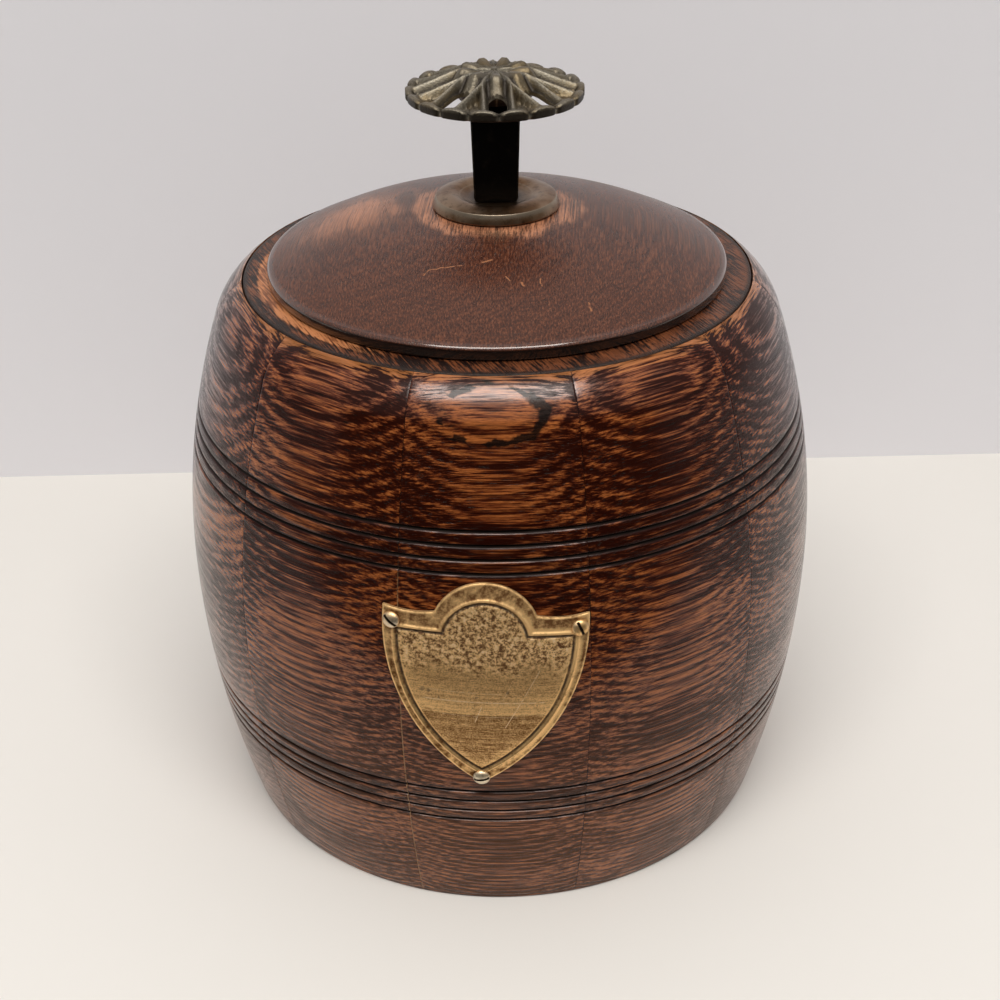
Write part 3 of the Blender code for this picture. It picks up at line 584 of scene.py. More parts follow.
def stave_oak(colours):
    """Varnished oak of the staves, with blackened grooves, glue lines and a worn foot."""
    material, wires, shader = new_finish("Stave oak")
    oak = oak_figure(wires, Pitch=STAVE_PITCH, Wander=0.9, Break=1.8, Pull=0.055)
    place = wires.place()
    rise = wires.split(place)[2]
    oval = wires.attribute("oval", "Vector")
    sideways = wires.split(oval)[0]
    cloud = wires.noise(place, 0.20, 3.0, 0.6)
    away = wires.stirred(wires.vector("LENGTH", oval, None, "Value"), cloud, 0.6)
    tone = wires.stirred(oak["Streak"], oak["Tone"], 0.45)
    tone = wires.scaled(wires.attribute("end_grain"), -0.08, tone)
    tone = wires.plus(tone, wires.step(rise, *DARK_SHOULDER, -0.005, -0.045))
    tone = wires.plus(tone, wires.step(away, 0.7, 1.9, 0.12, 0.0))
    wood = wires.mix(wires.step(tone, 0.46, 0.64), colours.stave_warm, colours.stave_late)
    wood = wires.mix(wires.step(tone, 0.38, 0.51, 0.94, 0.0), wood, colours.stave_early)
    wood = wires.mix(wires.step(oak["Fibre"], 0.36, 0.54, 0.50, 0.0), wood, colours.stave_early)
    wood = wires.mix(wires.times(oak["Ring"], 0.28), wood, colours.stave_early)
    wood = wires.mix(wires.step(rise, *WORN_FOOT, 0.17, 0.0), wood, colours.stave_worn)
    line = wires.step(wires.math("ABSOLUTE", wires.minus(away, 1.0)), 0.07, 0.16, 0.95, 0.0)
    broken = wires.step(wires.noise(place, (0.16, 0.16, 0.34), 2.0), 0.44, 0.50, 0.10, 1.0)
    line = wires.times(line, wires.most(broken, wires.step(sideways, 0.5, 0.8)))
    wood = wires.mix(line, wood, colours.pore)
    bare = wires.stirred(rise, oak["Streak"], 8.0)
    wood = wires.mix(wires.step(bare, *RUBBED_TOP, 0.0, 0.55), wood, colours.stave_bare)
    wood = wires.mix(wires.times(oak["Pore"], 0.8), wood, colours.pore)
    grime = wires.noise(place, (0.25, 0.25, 0.9), 3.0, 0.6)
    band = wires.times(wires.attribute("band"), wires.step(grime, 0.30, 0.70, 0.15, 0.60))
    wood = wires.mix(band, wood, colours.stave_early)
    groove = wires.step(wires.attribute("groove"), 0.10, 0.60)
    wood = wires.mix(groove, wood, colours.pore)
    seam = wires.stirred(wires.attribute("seam"), grime, 0.14)
    gaps = wires.step(wires.noise(place, (0.06, 0.06, 0.14), 3.0), 0.40, 0.58)
    pale = wires.times(wires.attribute("pale_joint"), wires.step(rise, *PALE_GLUE_END, 1.0, 0.0))
    pale = wires.times(pale, wires.step(grime, 0.36, 0.50, 0.25, 1.0))
    joint = wires.step(seam, 0.03, 0.17, 1.0, 0.0)
    joint = wires.times(joint, wires.most(pale, wires.scaled(gaps, 0.5, 0.2)))
    wood = wires.mix(joint, wood, wires.mix(pale, colours.pore, colours.glue_pale))
    wires.dress(shader, Base_Color=wood)
    rough = wires.scaled(oak["Fibre"], 0.16, 0.06)
    rough = wires.scaled(grime, 0.08, rough)
    rough = wires.scaled(line, 0.08, wires.scaled(oak["Pore"], 0.12, rough))
    wires.dress(shader, Roughness=wires.scaled(groove, 0.36, rough))
    height = wires.scaled(oak["Streak"], 1.1, wires.times(oak["Fibre"], 0.4))
    height = wires.scaled(oak["Pore"], -0.3, height)
    height = wires.scaled(oak["Ring"], -0.30, height)
    height = wires.times(height, wires.step(rise, *SMOOTH_SHOULDER, 1.0, 0.35))
    wires.dress(shader, Normal=wires.bump(height, 0.00014, 0.9))
    film = wires.times(wires.step(tone, 0.40, 0.54, 0.22, 1.0), wires.step(groove, 0.0, 1.0, 1.0, 0.2))
    film = wires.times(film, wires.scaled(line, -0.6, 1.0))
    film = wires.times(film, wires.step(rise, *FULL_VARNISH, 0.58, 1.0))
    film = wires.times(film, wires.scaled(oak["Pore"], -0.85, 1.0))
    wires.dress(shader, Coat_Weight=film, Coat_Roughness=0.19, Specular_IOR_Level=0.11)
    wires.dress(shader, Specular_Tint=shade(VARNISH_TINT))
    return material


def ring_oak(colours):
    """Oak of the mouth ring: short grain, and varnish worn off where the lid rubs."""
    material, wires, shader = new_finish("Mouth ring oak")
    oak = oak_figure(wires, Pitch=0.8, Wander=1.6, Break=3.0, Pull=0.0)
    place = wires.place()
    cloud = wires.noise(place, 0.10, 3.0, 0.6)
    worn = wires.stirred(wires.attribute("worn"), cloud, 0.8)
    worn = wires.stirred(worn, oak["Streak"], 1.6)
    worn = wires.step(worn, 0.20, 0.80)
    tone = wires.stirred(oak["Streak"], cloud, 0.5)
    tone = wires.plus(tone, wires.step(wires.split(place)[0], -20.0, 40.0, 0.0, 0.05))
    wood = wires.mix(wires.step(tone, 0.48, 0.57), colours.ring_early, colours.ring_late)
    wood = wires.mix(wires.times(oak["Ring"], 0.25), wood, colours.ring_early)
    deep = wires.times(oak["Pore"], 0.9)
    wood = wires.mix(deep, wood, colours.pore)
    bare = wires.mix(wires.step(tone, 0.40, 0.56), colours.ring_late, colours.ring_worn)
    wood = wires.mix(worn, wood, bare)
    dirt = wires.stirred(wires.attribute("rim"), oak["Streak"], 1.5)
    wood = wires.mix(wires.step(dirt, 0.25, 0.80, 0.0, 0.85), wood, colours.pore)
    wires.dress(shader, Base_Color=wood, Roughness=wires.scaled(oak["Fibre"], 0.25, 0.26))
    height = wires.scaled(oak["Pore"], -0.7, wires.times(oak["Streak"], 1.4))
    smooth = wires.scaled(worn, -0.7, 1.0)
    wires.dress(shader, Normal=wires.bump(wires.times(height, smooth), 0.00018, 0.9))
    wires.dress(shader, Specular_IOR_Level=0.34, Specular_Tint=shade(VARNISH_TINT))
    return material


LID_PITCH = 1.6
# Places on the lid, in millimetres: levels of its lip and underside, distances from a middle, and middles
BARE_UNDERSIDE = (142.0, 142.4)
SHADED_LIP = (142.7, 143.3)
POLISHED_LIP = (143.0, 144.0)
VARNISHED_LIP = (143.1, 143.9)
BARE_REACH = (54.6, 55.2)
HALO_REACH = (23.5, 26.5)
SHEEN_PATCH_REACH = (12.0, 31.0)
SHEEN_PATCH_MIDDLE = (-33.0, 6.0, 0.0)
SHADOW_REACH = (1.4, 3.6)
SHADOW_MIDDLE = (-22.0, 3.0, 0.0)
# Start, end and width of each scratch, in millimetres
LID_SCRATCHES = (
    ((-16.5, -33.1), (-15.2, -31.3), 0.24),
    ((-15.2, -31.3), (-8.1, -31.0), 0.20),
    ((-3.3, -30.2), (-1.2, -29.3), 0.34),
    ((2.0, -35.2), (2.7, -36.8), 0.20),
    ((5.2, -37.2), (5.9, -38.2), 0.22),
    ((9.4, -35.9), (9.9, -37.9), 0.24),
    ((20.0, -41.6), (20.5, -43.6), 0.30),
)


def lid_oak(colours):
    """Dull, dark oak of the lid with fine short pores, worn patches, turning lines and scratches, plus a
    painted reflection, a painted shadow and painted shade on the lip.
    """
    material, wires, shader = new_finish("Lid oak")
    board = wires.attribute("board", "Vector")
    oak = oak_figure(wires, Pitch=LID_PITCH, Wander=0.7, Break=2.0, Pull=0.04)
    place = wires.place()
    x, y, z = wires.split(place)
    flat = wires.join(x, y, 0.0)
    away = wires.vector("LENGTH", flat, None, "Value")
    cloud = wires.noise(place, (0.07, 0.05, 0.07), 3.0, 0.6)
    blotch = wires.noise(place, (0.30, 0.22, 0.30), 3.0, 0.6)
    dash = wires.noise(board, (0.022, 2.9, 2.9), 3.0, 0.60)
    halo = wires.step(wires.scaled(cloud, 10.0, away), *HALO_REACH, 1.0, 0.0)
    halo = wires.times(halo, wires.step(blotch, 0.34, 0.56, 0.6, 1.0))
    # Lighter patch on the lid's left: partly thinner varnish, partly a painted reflection
    worn_sheen_patch = wires.vector("DISTANCE", flat, SHEEN_PATCH_MIDDLE, "Value")
    worn_sheen_patch = wires.step(wires.scaled(cloud, 18.0, worn_sheen_patch), *SHEEN_PATCH_REACH, 0.80, 0.0)
    thin = wires.most(halo, worn_sheen_patch)
    wood = wires.mix(thin, colours.lid_late, colours.lid_worn_and_sheen)
    # Painted shadow: a dark streak beside the knob's backplate, drawn out from front to back
    shadow = wires.join(x, wires.times(y, 0.35), 0.0)
    shadow = wires.step(wires.vector("DISTANCE", shadow, SHADOW_MIDDLE, "Value"), *SHADOW_REACH, 0.65, 0.0)
    wood = wires.mix(shadow, wood, colours.lid_early)
    dark = wires.times(oak["Ring"], wires.scaled(worn_sheen_patch, 0.15, 0.26))
    wood = wires.mix(dark, wood, colours.lid_early)
    quiet = wires.scaled(worn_sheen_patch, -0.75, 1.0)
    dark = wires.times(wires.step(dash, 0.41, 0.55, 0.75, 0.0), quiet)
    wood = wires.mix(dark, wood, colours.lid_early)
    light = wires.times(wires.step(dash, 0.54, 0.68, 0.0, 0.18), quiet)
    wood = wires.mix(light, wood, colours.lid_worn_and_sheen)
    turned = wires.noise(wires.join(away, 0.0, 0.0), (1.3, 1.0, 1.0), 3.0, 0.6)
    turned = wires.times(wires.step(turned, 0.38, 0.50, 0.5, 0.0), wires.step(cloud, 0.42, 0.60))
    wood = wires.mix(turned, wood, colours.lid_early)
    wood = wires.mix(wires.times(oak["Pore"], 0.75), wood, colours.pore)
    nicks = wires.step(wires.cells(flat, 0.45), 0.04, 0.08, 0.6, 0.0)
    marks = wires.most(nicks, scratches(wires, flat, LID_SCRATCHES, 1.0))
    wood = wires.mix(wires.times(marks, 0.55), wood, colours.ring_worn)
    under = wires.times(wires.step(z, *BARE_UNDERSIDE, 1.0, 0.0), wires.step(away, *BARE_REACH, 1.0, 0.0))
    wood = wires.mix(wires.times(under, 0.45), wood, colours.lid_worn_and_sheen)
    covered = wires.minus(1.0, under)
    # Painted shade: the lower half of the lip, which turns under, goes almost black
    lip_shade = wires.times(wires.step(wires.scaled(cloud, 0.6, z), *SHADED_LIP, 0.97, 0.0), covered)
    wood = wires.mix(lip_shade, wood, colours.pore)
    wires.dress(shader, Base_Color=wood)
    rough = wires.scaled(dash, 0.14, wires.scaled(cloud, 0.10, 0.18))
    rough = wires.scaled(marks, 0.25, rough)
    polish = wires.most(wires.step(z, *POLISHED_LIP, 0.22, 1.0), under)
    wires.dress(shader, Coat_Weight=wires.times(wires.step(z, *VARNISHED_LIP, 1.0, 0.0), covered))
    wires.dress(shader, Coat_Roughness=0.10, Roughness=wires.times(rough, polish))
    height = wires.scaled(oak["Pore"], -0.6, wires.scaled(dash, 1.2, 1.0))
    height = wires.scaled(marks, -0.8, wires.scaled(turned, -0.4, height))
    wires.dress(shader, Normal=wires.bump(wires.times(height, polish), 0.00008, 0.8))
    wires.dress(shader, Specular_IOR_Level=0.44, Specular_Tint=shade(VARNISH_TINT))
    return material


def board_oak(colours):
    """Bare oak of the base board."""
    material, wires, shader = new_finish("Bare oak")
    oak = oak_figure(wires, Pitch=2.4, Wander=1.0, Break=2.0, Pull=0.05)
    wood = wires.mix(wires.times(oak["Ring"], 0.6), colours.bare_late, colours.bare_early)
    wood = wires.mix(wires.times(oak["Pore"], 0.8), wood, colours.stave_early)
    soil = wires.step(wires.noise(wires.place(), 0.05, 4.0, 0.6), 0.45, 0.75, 0.0, 0.6)
    wood = wires.mix(soil, wood, colours.bare_early)
    wires.dress(shader, Base_Color=wood, Roughness=wires.scaled(oak["Fibre"], 0.2, 0.60))
    height = wires.scaled(oak["Pore"], -0.8, wires.scaled(oak["Fibre"], 0.3, 1.0))
    wires.dress(shader, Normal=wires.bump(height, 0.00012, 0.9))
    return material


# Drops on the shield, in millimetres, where its finish changes
MOTTLED_ABOVE = (23.0, 32.0)
BROWN_BELOW = (33.0, 33.5)
BRIGHT_BAND = 31.7
BAND_REACH = (1.2, 1.8)
# Start, end and width of each scratch, then place and size of each pit, in millimetres
PLATE_SCRATCHES = (
    ((-13.5, 29.8), (13.5, 29.8), 0.13),
    ((12.3, 21.2), (5.1, 36.6), 0.11),
    ((-0.3, 31.0), (-1.7, 35.3), 0.11),
    ((-12.0, 27.2), (4.0, 27.4), 0.05),
    ((-9.0, 33.6), (7.5, 33.8), 0.05),
    ((6.0, 25.0), (4.4, 29.0), 0.05),
)
PLATE_PITS = (
    (-13.6, 27.4, 0.7),
    (-12.2, 27.6, 0.6),
    (-1.5, 28.5, 0.5),
    (-9.9, 29.2, 0.4),
    (5.3, 27.0, 0.5),
)


def shield_brass(colours):
    """Aged brass of the shield: mottled above, brushed below, rubbed on its bead and dirty in its line."""
    material, wires, shader = new_finish("Shield brass")
    plate = wires.attribute("plate", "Vector")
    drop = wires.split(plate)[1]
    border = wires.attribute("border")
    cloud = wires.noise(plate, (0.11, 0.11, 0.0), 3.0, 0.6)
    blot = wires.noise(plate, (0.38, 0.38, 0.0), 4.0, 0.6)
    upper = wires.step(wires.scaled(cloud, 14.0, drop), *MOTTLED_ABOVE, 1.0, 0.12)
    mottle = wires.noise(plate, (0.95, 0.95, 0.0), 5.0, 0.82)
    grain = wires.noise(plate, (3.0, 3.0, 0.0), 3.0, 0.7)
    brushed = wires.noise(plate, (0.05, 1.5, 0.0), 3.0, 0.65)
    fine = wires.noise(plate, (0.35, 6.0, 0.0), 3.0, 0.7)
    streak = wires.plus(wires.times(brushed, 1.5), wires.times(fine, 1.3))
    low_tone = wires.minus(3.22, wires.scaled(grain, 2.5, streak))
    low_tone = wires.plus(low_tone, wires.step(drop, *BROWN_BELOW, -0.24, 0.14))
    band = wires.math("ABSOLUTE", wires.minus(drop, BRIGHT_BAND))
    low_tone = wires.minus(low_tone, wires.step(band, *BAND_REACH, 0.14, 0.0))
    blots = wires.scaled(blot, 3.4, wires.times(mottle, 9.6))
    high_tone = wires.minus(6.94, blots)
    field = wires.between(upper, low_tone, high_tone)
    edging = wires.scaled(mottle, -2.4, wires.scaled(blot, -2.8, 3.28))
    tone = wires.between(border, field, edging)
    # The rub mask brightens rubbed high points, plus painted highlight on the outer edge and the bead's
    # right side
    tone = wires.minus(tone, wires.times(wires.attribute("rub"), 0.75))
    tone = wires.least(wires.most(tone, 0.0), 1.0)
    metal = wires.mix(tone, colours.brass, colours.brass_brown)
    inside = wires.times(upper, wires.minus(1.0, border))
    specks = wires.times(wires.step(mottle, 0.40, 0.50, 0.75, 0.0), inside)
    specks = wires.times(specks, wires.step(blot, 0.42, 0.58, 1.0, 0.05))
    metal = wires.mix(specks, metal, colours.brass_rust)
    glints = wires.times(wires.step(mottle, 0.51, 0.60, 0.0, 0.75), inside)
    glints = wires.times(glints, wires.step(blot, 0.40, 0.56, 0.25, 1.0))
    metal = wires.mix(glints, metal, colours.brass_pale)
    marks = scratches(wires, plate, PLATE_SCRATCHES)
    metal = wires.mix(wires.times(marks, 0.9), metal, colours.brass_pale)
    pits = wires.step(wires.cells(plate, (0.55, 0.55, 0.0)), 0.06, 0.13, 0.8, 0.0)
    pits = wires.times(pits, wires.step(cloud, 0.44, 0.58))
    for x, y, size in PLATE_PITS:
        away = wires.vector("DISTANCE", plate, (x, y, 0.0), "Value")
        away = wires.stirred(away, mottle, 2.4 * size)
        pits = wires.most(pits, wires.step(away, 0.4 * size, size, 0.8, 0.0))
    dirt = wires.times(wires.attribute("dirt"), wires.step(blot, 0.36, 0.56, 0.55, 0.95))
    dirt = wires.most(dirt, wires.times(pits, 0.8))
    metal = wires.mix(dirt, metal, colours.brass_dirt_and_shade)
    wires.dress(shader, Base_Color=metal)
    bare = wires.scaled(upper, -0.40, 0.98)
    wires.dress(shader, Metallic=wires.times(bare, wires.scaled(dirt, -0.7, 1.0)))
    rough = wires.scaled(upper, 0.14, wires.scaled(tone, 0.18, 0.34))
    wires.dress(shader, Roughness=wires.scaled(dirt, 0.3, rough))
    height = wires.times(wires.times(mottle, upper), 1.2)
    height = wires.scaled(streak, 0.16, wires.scaled(grain, 0.4, height))
    height = wires.scaled(marks, -0.5, wires.scaled(pits, -0.6, height))
    wires.dress(shader, Normal=wires.bump(height, 0.00006, 0.8))
    return material


def fixing_steel(colours):
    """Plain steel of the knob's fixing, with darker tarnish in blotches and a fine grain."""
    material, wires, shader = new_finish("Fixing steel")
    place = wires.place()
    tarnish = wires.group(once("Tarnish", build_tarnish), Point=place, Blotch=1.0, Amount=0.40)
    share = wires.scaled(tarnish["Blotch"], 0.6, wires.times(tarnish["Speck"], 0.3))
    wires.dress(shader, Base_Color=wires.mix(share, colours.steel, colours.bronze))
    wires.dress(shader, Roughness=wires.scaled(tarnish["Blotch"], 0.2, 0.30))
    height = wires.scaled(tarnish["Blotch"], -0.5, tarnish["Grain"])
    wires.dress(shader, Normal=wires.bump(height, 0.00003, 0.6), Metallic=1.0)
    return material


def rubbed_metal(name, tone, warm, dark, rubbed, rough, depth, blotch=2.0):
    """A patinated metal with warmer patches, rubbed bright on its high points and dark in its hollows:
    patina on the rosette, painted shade in the screw slots and round the knob post's foot.
    """
    material, wires, shader = new_finish(name)
    place = wires.place()
    tarnish = wires.group(once("Tarnish", build_tarnish), Point=place, Blotch=blotch, Amount=0.42)
    patches = wires.noise(place, 0.09, 3.0, 0.6)
    metal = wires.mix(wires.step(patches, 0.40, 0.62), tone, warm)
    metal = wires.mix(wires.times(tarnish["Blotch"], 0.45), metal, dark)
    hollow = wires.stirred(wires.attribute("hollow"), tarnish["Grain"], 0.8)
    metal = wires.mix(wires.step(hollow, 0.10, 0.85), metal, dark)
    rub = wires.stirred(wires.attribute("rub"), tarnish["Grain"], 1.2)
    metal = wires.mix(wires.step(rub, 0.30, 0.95, 0.0, 0.9), metal, rubbed)
    wires.dress(shader, Base_Color=metal, Metallic=wires.step(hollow, 0.3, 1.0, 1.0, 0.6))
    wires.dress(shader, Roughness=wires.scaled(tarnish["Grain"], 0.25, rough))
    height = wires.scaled(tarnish["Blotch"], -0.4, tarnish["Grain"])
    wires.dress(shader, Normal=wires.bump(height, depth, 0.8))
    return material


def black_post(colours):
    """Black semi-gloss finish of the post, brown where it is rubbed thin."""
    material, wires, shader = new_finish("Post black")
    place = wires.place()
    tarnish = wires.group(once("Tarnish", build_tarnish), Point=place, Blotch=1.2, Amount=0.36)
    rub = wires.times(wires.attribute("rub"), wires.step(tarnish["Grain"], 0.40, 0.70))
    share = wires.scaled(rub, 0.25, wires.times(tarnish["Blotch"], 0.03))
    wires.dress(shader, Base_Color=wires.mix(share, colours.post, colours.bronze))
    wires.dress(shader, Roughness=wires.scaled(tarnish["Grain"], 0.25, 0.28))
    wires.dress(shader, Normal=wires.bump(tarnish["Grain"], 0.00004, 0.5), Specular_IOR_Level=0.12)
    return material


GLAZE_POOL = (20.0, 34.0)


def liner_glaze(colours):
    """Cream glaze with fine crazing, thicker in the corner between wall and floor."""
    material, wires, shader = new_finish("Cream glaze")
    place = wires.place()
    height = wires.split(place)[2]
    cloud = wires.noise(place, 0.05, 3.0, 0.6)
    pool = wires.step(wires.scaled(cloud, 10.0, height), *GLAZE_POOL, 1.0, 0.0)
    glaze = wires.mix(wires.times(pool, 0.6), colours.glaze, colours.glaze_pool)
    craze = wires.cells(place, 0.22, "DISTANCE_TO_EDGE")
    craze = wires.step(craze, 0.004, 0.020, 0.35, 0.0)
    speck = wires.step(wires.cells(place, 0.35), 0.05, 0.09, 0.7, 0.0)
    mark = wires.most(craze, speck)
    wires.dress(shader, Base_Color=wires.mix(mark, glaze, colours.glaze_pool))
    wires.dress(shader, Roughness=wires.scaled(cloud, 0.08, 0.08), Normal=wires.bump(cloud, 0.0004, 0.5))
    wires.dress(shader, Coat_Weight=0.4)
    return material


# Mesh making

# Steps round the axis of each turned piece
RING_STEPS = 220
BOARD_STEPS = 180
LINER_STEPS = 180
LID_STEPS = 240
PLATE_STEPS = 160
ROSETTE_STEPS = 432
HEAD_STEPS = 48
WASHER_STEPS = 72
SCREW_STEPS = 64


def add_mesh(name, verts, faces, sharp=35.0):
    """Make a smooth-shaded mesh with its faces pointing out."""
    mesh = bpy.data.meshes.new(name)
    mesh.from_pydata([tuple(v) for v in verts], [], faces)
    bm = bmesh.new()
    bm.from_mesh(mesh)
    bmesh.ops.recalc_face_normals(bm, faces=bm.faces)
    bm.to_mesh(mesh)
    bm.free()
    mesh.shade_smooth()
    mesh.set_sharp_from_angle(angle=math.radians(sharp))
    return mesh


def add_piece(name, mesh, material, body, slot, *nodes):
    """Put a mesh in the scene as the piece that stands for some CAD nodes."""
    mesh.materials.clear()
    mesh.materials.append(material)
    piece = bpy.data.objects.new(name, mesh)
    bpy.context.scene.collection.objects.link(piece)
    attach(piece, body)
    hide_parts(*nodes)
    return piece


def carry(mesh, name, values):
    """Store a number or a vector on each vertex for the finishes to read."""
    values = np.asarray(values, float)
    kind, field = ("FLOAT", "value") if values.ndim == 1 else ("FLOAT_VECTOR", "vector")
    layer = mesh.attributes.new(name, kind, "POINT")
    layer.data.foreach_set(field, values.ravel().astype(np.float32))


def places(mesh):
    """Give the places of a mesh's vertices."""
    flat = np.empty(3 * len(mesh.vertices), np.float32)
    mesh.vertices.foreach_get("co", flat)
    return flat.reshape(-1, 3).astype(float)


def round_point(radius, angle, height):
    """Give the point at an angle from the front, turning towards +X."""
    return radius * math.sin(angle), -radius * math.cos(angle), height


def lathe(profile, steps, shape=None):
    """Turn a closed profile of (radius, height) about the axis; shape may move each point by its angle."""
    verts, faces, rings = [], [], []
    for index, (radius, height) in enumerate(profile):
        ring = []
        for step in range(steps if radius > 0.0 else 1):
            angle = 2.0 * math.pi * step / steps
            out, level = shape(index, radius, height, angle) if shape else (radius, height)
            ring.append(len(verts))
            verts.append(round_point(out, angle, level))
        rings.append(ring)
    for ring, following in zip(rings, rings[1:] + rings[:1]):
        if len(ring) == len(following) == 1:
            continue
        for step in range(steps):
            after = (step + 1) % steps
            corners = [ring[step % len(ring)], ring[after % len(ring)]]
            corners += [following[after % len(following)], following[step % len(following)]]
            faces.append(list(dict.fromkeys(corners)))
    return verts, faces


def soft(value, low, high):
    """Go smoothly from 0 to 1 while a value goes from low to high."""
    share = min(1.0, max(0.0, (value - low) / (high - low)))
    return share * share * (3.0 - 2.0 * share)


def arc(centre, radius, first, last, steps):
    """Give points of an arc, with its angles in degrees."""
    turns = [math.radians(first + (last - first) * n / steps) for n in range(steps + 1)]
    return [(centre[0] + radius * math.cos(a), centre[1] + radius * math.sin(a)) for a in turns]


def cut_away(mesh, cutter, sharp=32.0):
    """Take a closed cutter mesh out of a mesh and give the result."""
    scene = bpy.context.scene.collection
    whole = bpy.data.objects.new("whole", mesh)
    tool = bpy.data.objects.new("cutter", cutter)
    scene.objects.link(whole)
    scene.objects.link(tool)
    boolean = whole.modifiers.new("cut", "BOOLEAN")
    boolean.operation = "DIFFERENCE"
    boolean.solver = "EXACT"
    boolean.object = tool
    bpy.context.view_layer.update()
    result = bpy.data.meshes.new_from_object(whole.evaluated_get(bpy.context.evaluated_depsgraph_get()))
    bpy.data.objects.remove(whole)
    bpy.data.objects.remove(tool)
    result.shade_smooth()
    result.set_sharp_from_angle(angle=math.radians(sharp))
    return result


def prism(outline, low, high):
    """Make a closed upright prism over an outline."""
    n = len(outline)
    verts = [(x, y, low) for x, y in outline] + [(x, y, high) for x, y in outline]
    faces = [list(range(n)), list(range(n, 2 * n))]
    faces += [[k, (k + 1) % n, n + (k + 1) % n, n + k] for k in range(n)]
    return verts, faces


def slot_cutter(far, width, low, high):
    """Make a long box that cuts a slot across a screw's head."""
    w = 0.5 * width
    return add_mesh("slot", *prism([(-far, -w), (far, -w), (far, w), (-far, w)], low, high))


def board_coordinates(points, angle, lean, twist, start):
    """Give points along and across a board's fibres and across its rings, in millimetres.

    The board faces out at an angle from the front. Its rings lean outwards by one angle, its fibres are
    twisted about the upright by another, and start shifts the figure.
    """
    tangent = np.array((math.cos(angle + twist), math.sin(angle + twist), 0.0))
    outward = np.array((math.sin(angle + twist), -math.cos(angle + twist), 0.0))
    ring = outward * math.sin(lean) + np.array((0.0, 0.0, math.cos(lean)))
    axes = np.stack((tangent, np.cross(ring, tangent), ring), axis=1)
    return np.asarray(points) @ axes / MM + np.asarray(start)


# The barrel's shape


def wall_radius(sizes, height):
    """Give the outside radius of the staves, bowed both ways from the belly."""
    if height < sizes.belly_height:
        share = (sizes.belly_height - height) / sizes.belly_height
        return sizes.belly_radius - (sizes.belly_radius - sizes.foot_radius) * share ** 2
    shoulder = sizes.body_height - sizes.shoulder_rise
    share = (height - sizes.belly_height) / (shoulder - sizes.belly_height)
    return sizes.belly_radius - (sizes.belly_radius - sizes.ring_radius - sizes.shoulder_run) * share ** 2


def wall_slope(sizes, height):
    """Give how fast the wall's radius grows with height."""
    step = 0.1 * MM
    return (wall_radius(sizes, height + step) - wall_radius(sizes, height - step)) / (2.0 * step)


def on_wall(sizes, angle, height, proud):
    """Give a point that stands proud of the wall, and the wall's outward direction there."""
    out = Vector((math.sin(angle), -math.cos(angle), -wall_slope(sizes, height))).normalized()
    return Vector(round_point(wall_radius(sizes, height), angle, height)) + out * proud, out


def shoulder_points(sizes, steps):
    """Give the arc of the shoulder, tangent to the wall and ending at the ring's seat."""
    start = Vector((sizes.ring_radius + sizes.shoulder_run, sizes.body_height - sizes.shoulder_rise))
    chord = Vector((sizes.ring_radius, sizes.body_height)) - start
    inward = Vector((-1.0, wall_slope(sizes, start.y - sizes.fit))).normalized()
    radius = chord.length_squared / (2.0 * inward.dot(chord))
    centre = start + inward * radius
    first = math.degrees(math.atan2(start.y - centre.y, start.x - centre.x))
    last = math.degrees(math.acos((sizes.ring_radius + sizes.fit - centre.x) / radius))
    return arc(centre, radius, first, last, steps)


# A groove's section: offsets in half widths, and shares of its depth
GROOVE_SECTION = ((-1.5, 0.0), (-1.0, 0.10), (-0.6, 0.52), (-0.28, 0.90), (0.0, 1.0))
WALL_STEP = 0.0011
SHOULDER_STEPS = 22
STAVE_STEPS = 26
# Where points lie beside a joint, in shares of its wear
WORN_SHARES = (0.3, 0.7, 1.0, 1.6)


def groove_levels(sizes):
    """Give the levels of all turned grooves."""
    tops = (sizes.upper_groove, sizes.lower_groove)
    return [top - sizes.groove_pitch * n for top in tops for n in range(sizes.grooves)]


def band_share(sizes, height):
    """Give 1 within a band of grooves, fading to 0 just outside it."""
    shares = []
    for top in (sizes.upper_groove, sizes.lower_groove):
        half = 0.5 * sizes.groove_pitch * (sizes.grooves - 1)
        away = abs(height - top + half) - half - 0.5 * sizes.groove_width
        shares.append(1.0 - min(1.0, max(0.0, away / (1.2 * sizes.groove_width))))
    return max(shares)


def stave_outside(sizes):
    """Give the outside of a stave from foot to ring as (radius, height, depth share in a groove)."""
    r = sizes.foot_round
    foot = [(x, y, 0.0) for x, y in arc((sizes.foot_radius - r, r), r, -90.0, 0.0, 4)]
    levels = groove_levels(sizes)
    half = 0.5 * sizes.groove_width
    section = [*GROOVE_SECTION, *((-offset, depth) for offset, depth in reversed(GROOVE_SECTION[:-1]))]
    top = sizes.body_height - sizes.shoulder_rise
    steps = round((top - r) / WALL_STEP)
    plain = [r + (top - r) * n / steps for n in range(1, steps)]
    rows = [(level, 0.0) for level in plain if all(abs(level - g) > 1.9 * half for g in levels)]
    rows += [(groove + offset * half, depth) for groove in levels for offset, depth in section]
    wall = []
    for level, depth in sorted(rows):
        wall.append((wall_radius(sizes, level) - depth * sizes.groove_depth, level, depth))
    return foot + wall + [(x, y, 0.0) for x, y in shoulder_points(sizes, SHOULDER_STEPS)]


def stave_span(sizes, index):
    """Give the angles of a stave's two joints."""
    start = sizes.front_joint
    if index == 0:
        return start, start + sizes.front_stave
    width = (2.0 * math.pi - sizes.front_stave) / (len(STAVE_NODES) - 1)
    start += sizes.front_stave + (index - 1) * width
    return start, start + width


STAVE_SEED = 11
# The front stave's dark oval: across, level, half width and half height
FRONT_OVAL = (-0.0019, 0.1332, 0.0107, 0.0054)
# How far off the oval the other staves are
FAR_OFF = 9.0
# The front stave's figure: lean, twist and start
FRONT_BOARD = (math.radians(53.0), math.radians(0.65), (37.0, 12.0, -133.67))


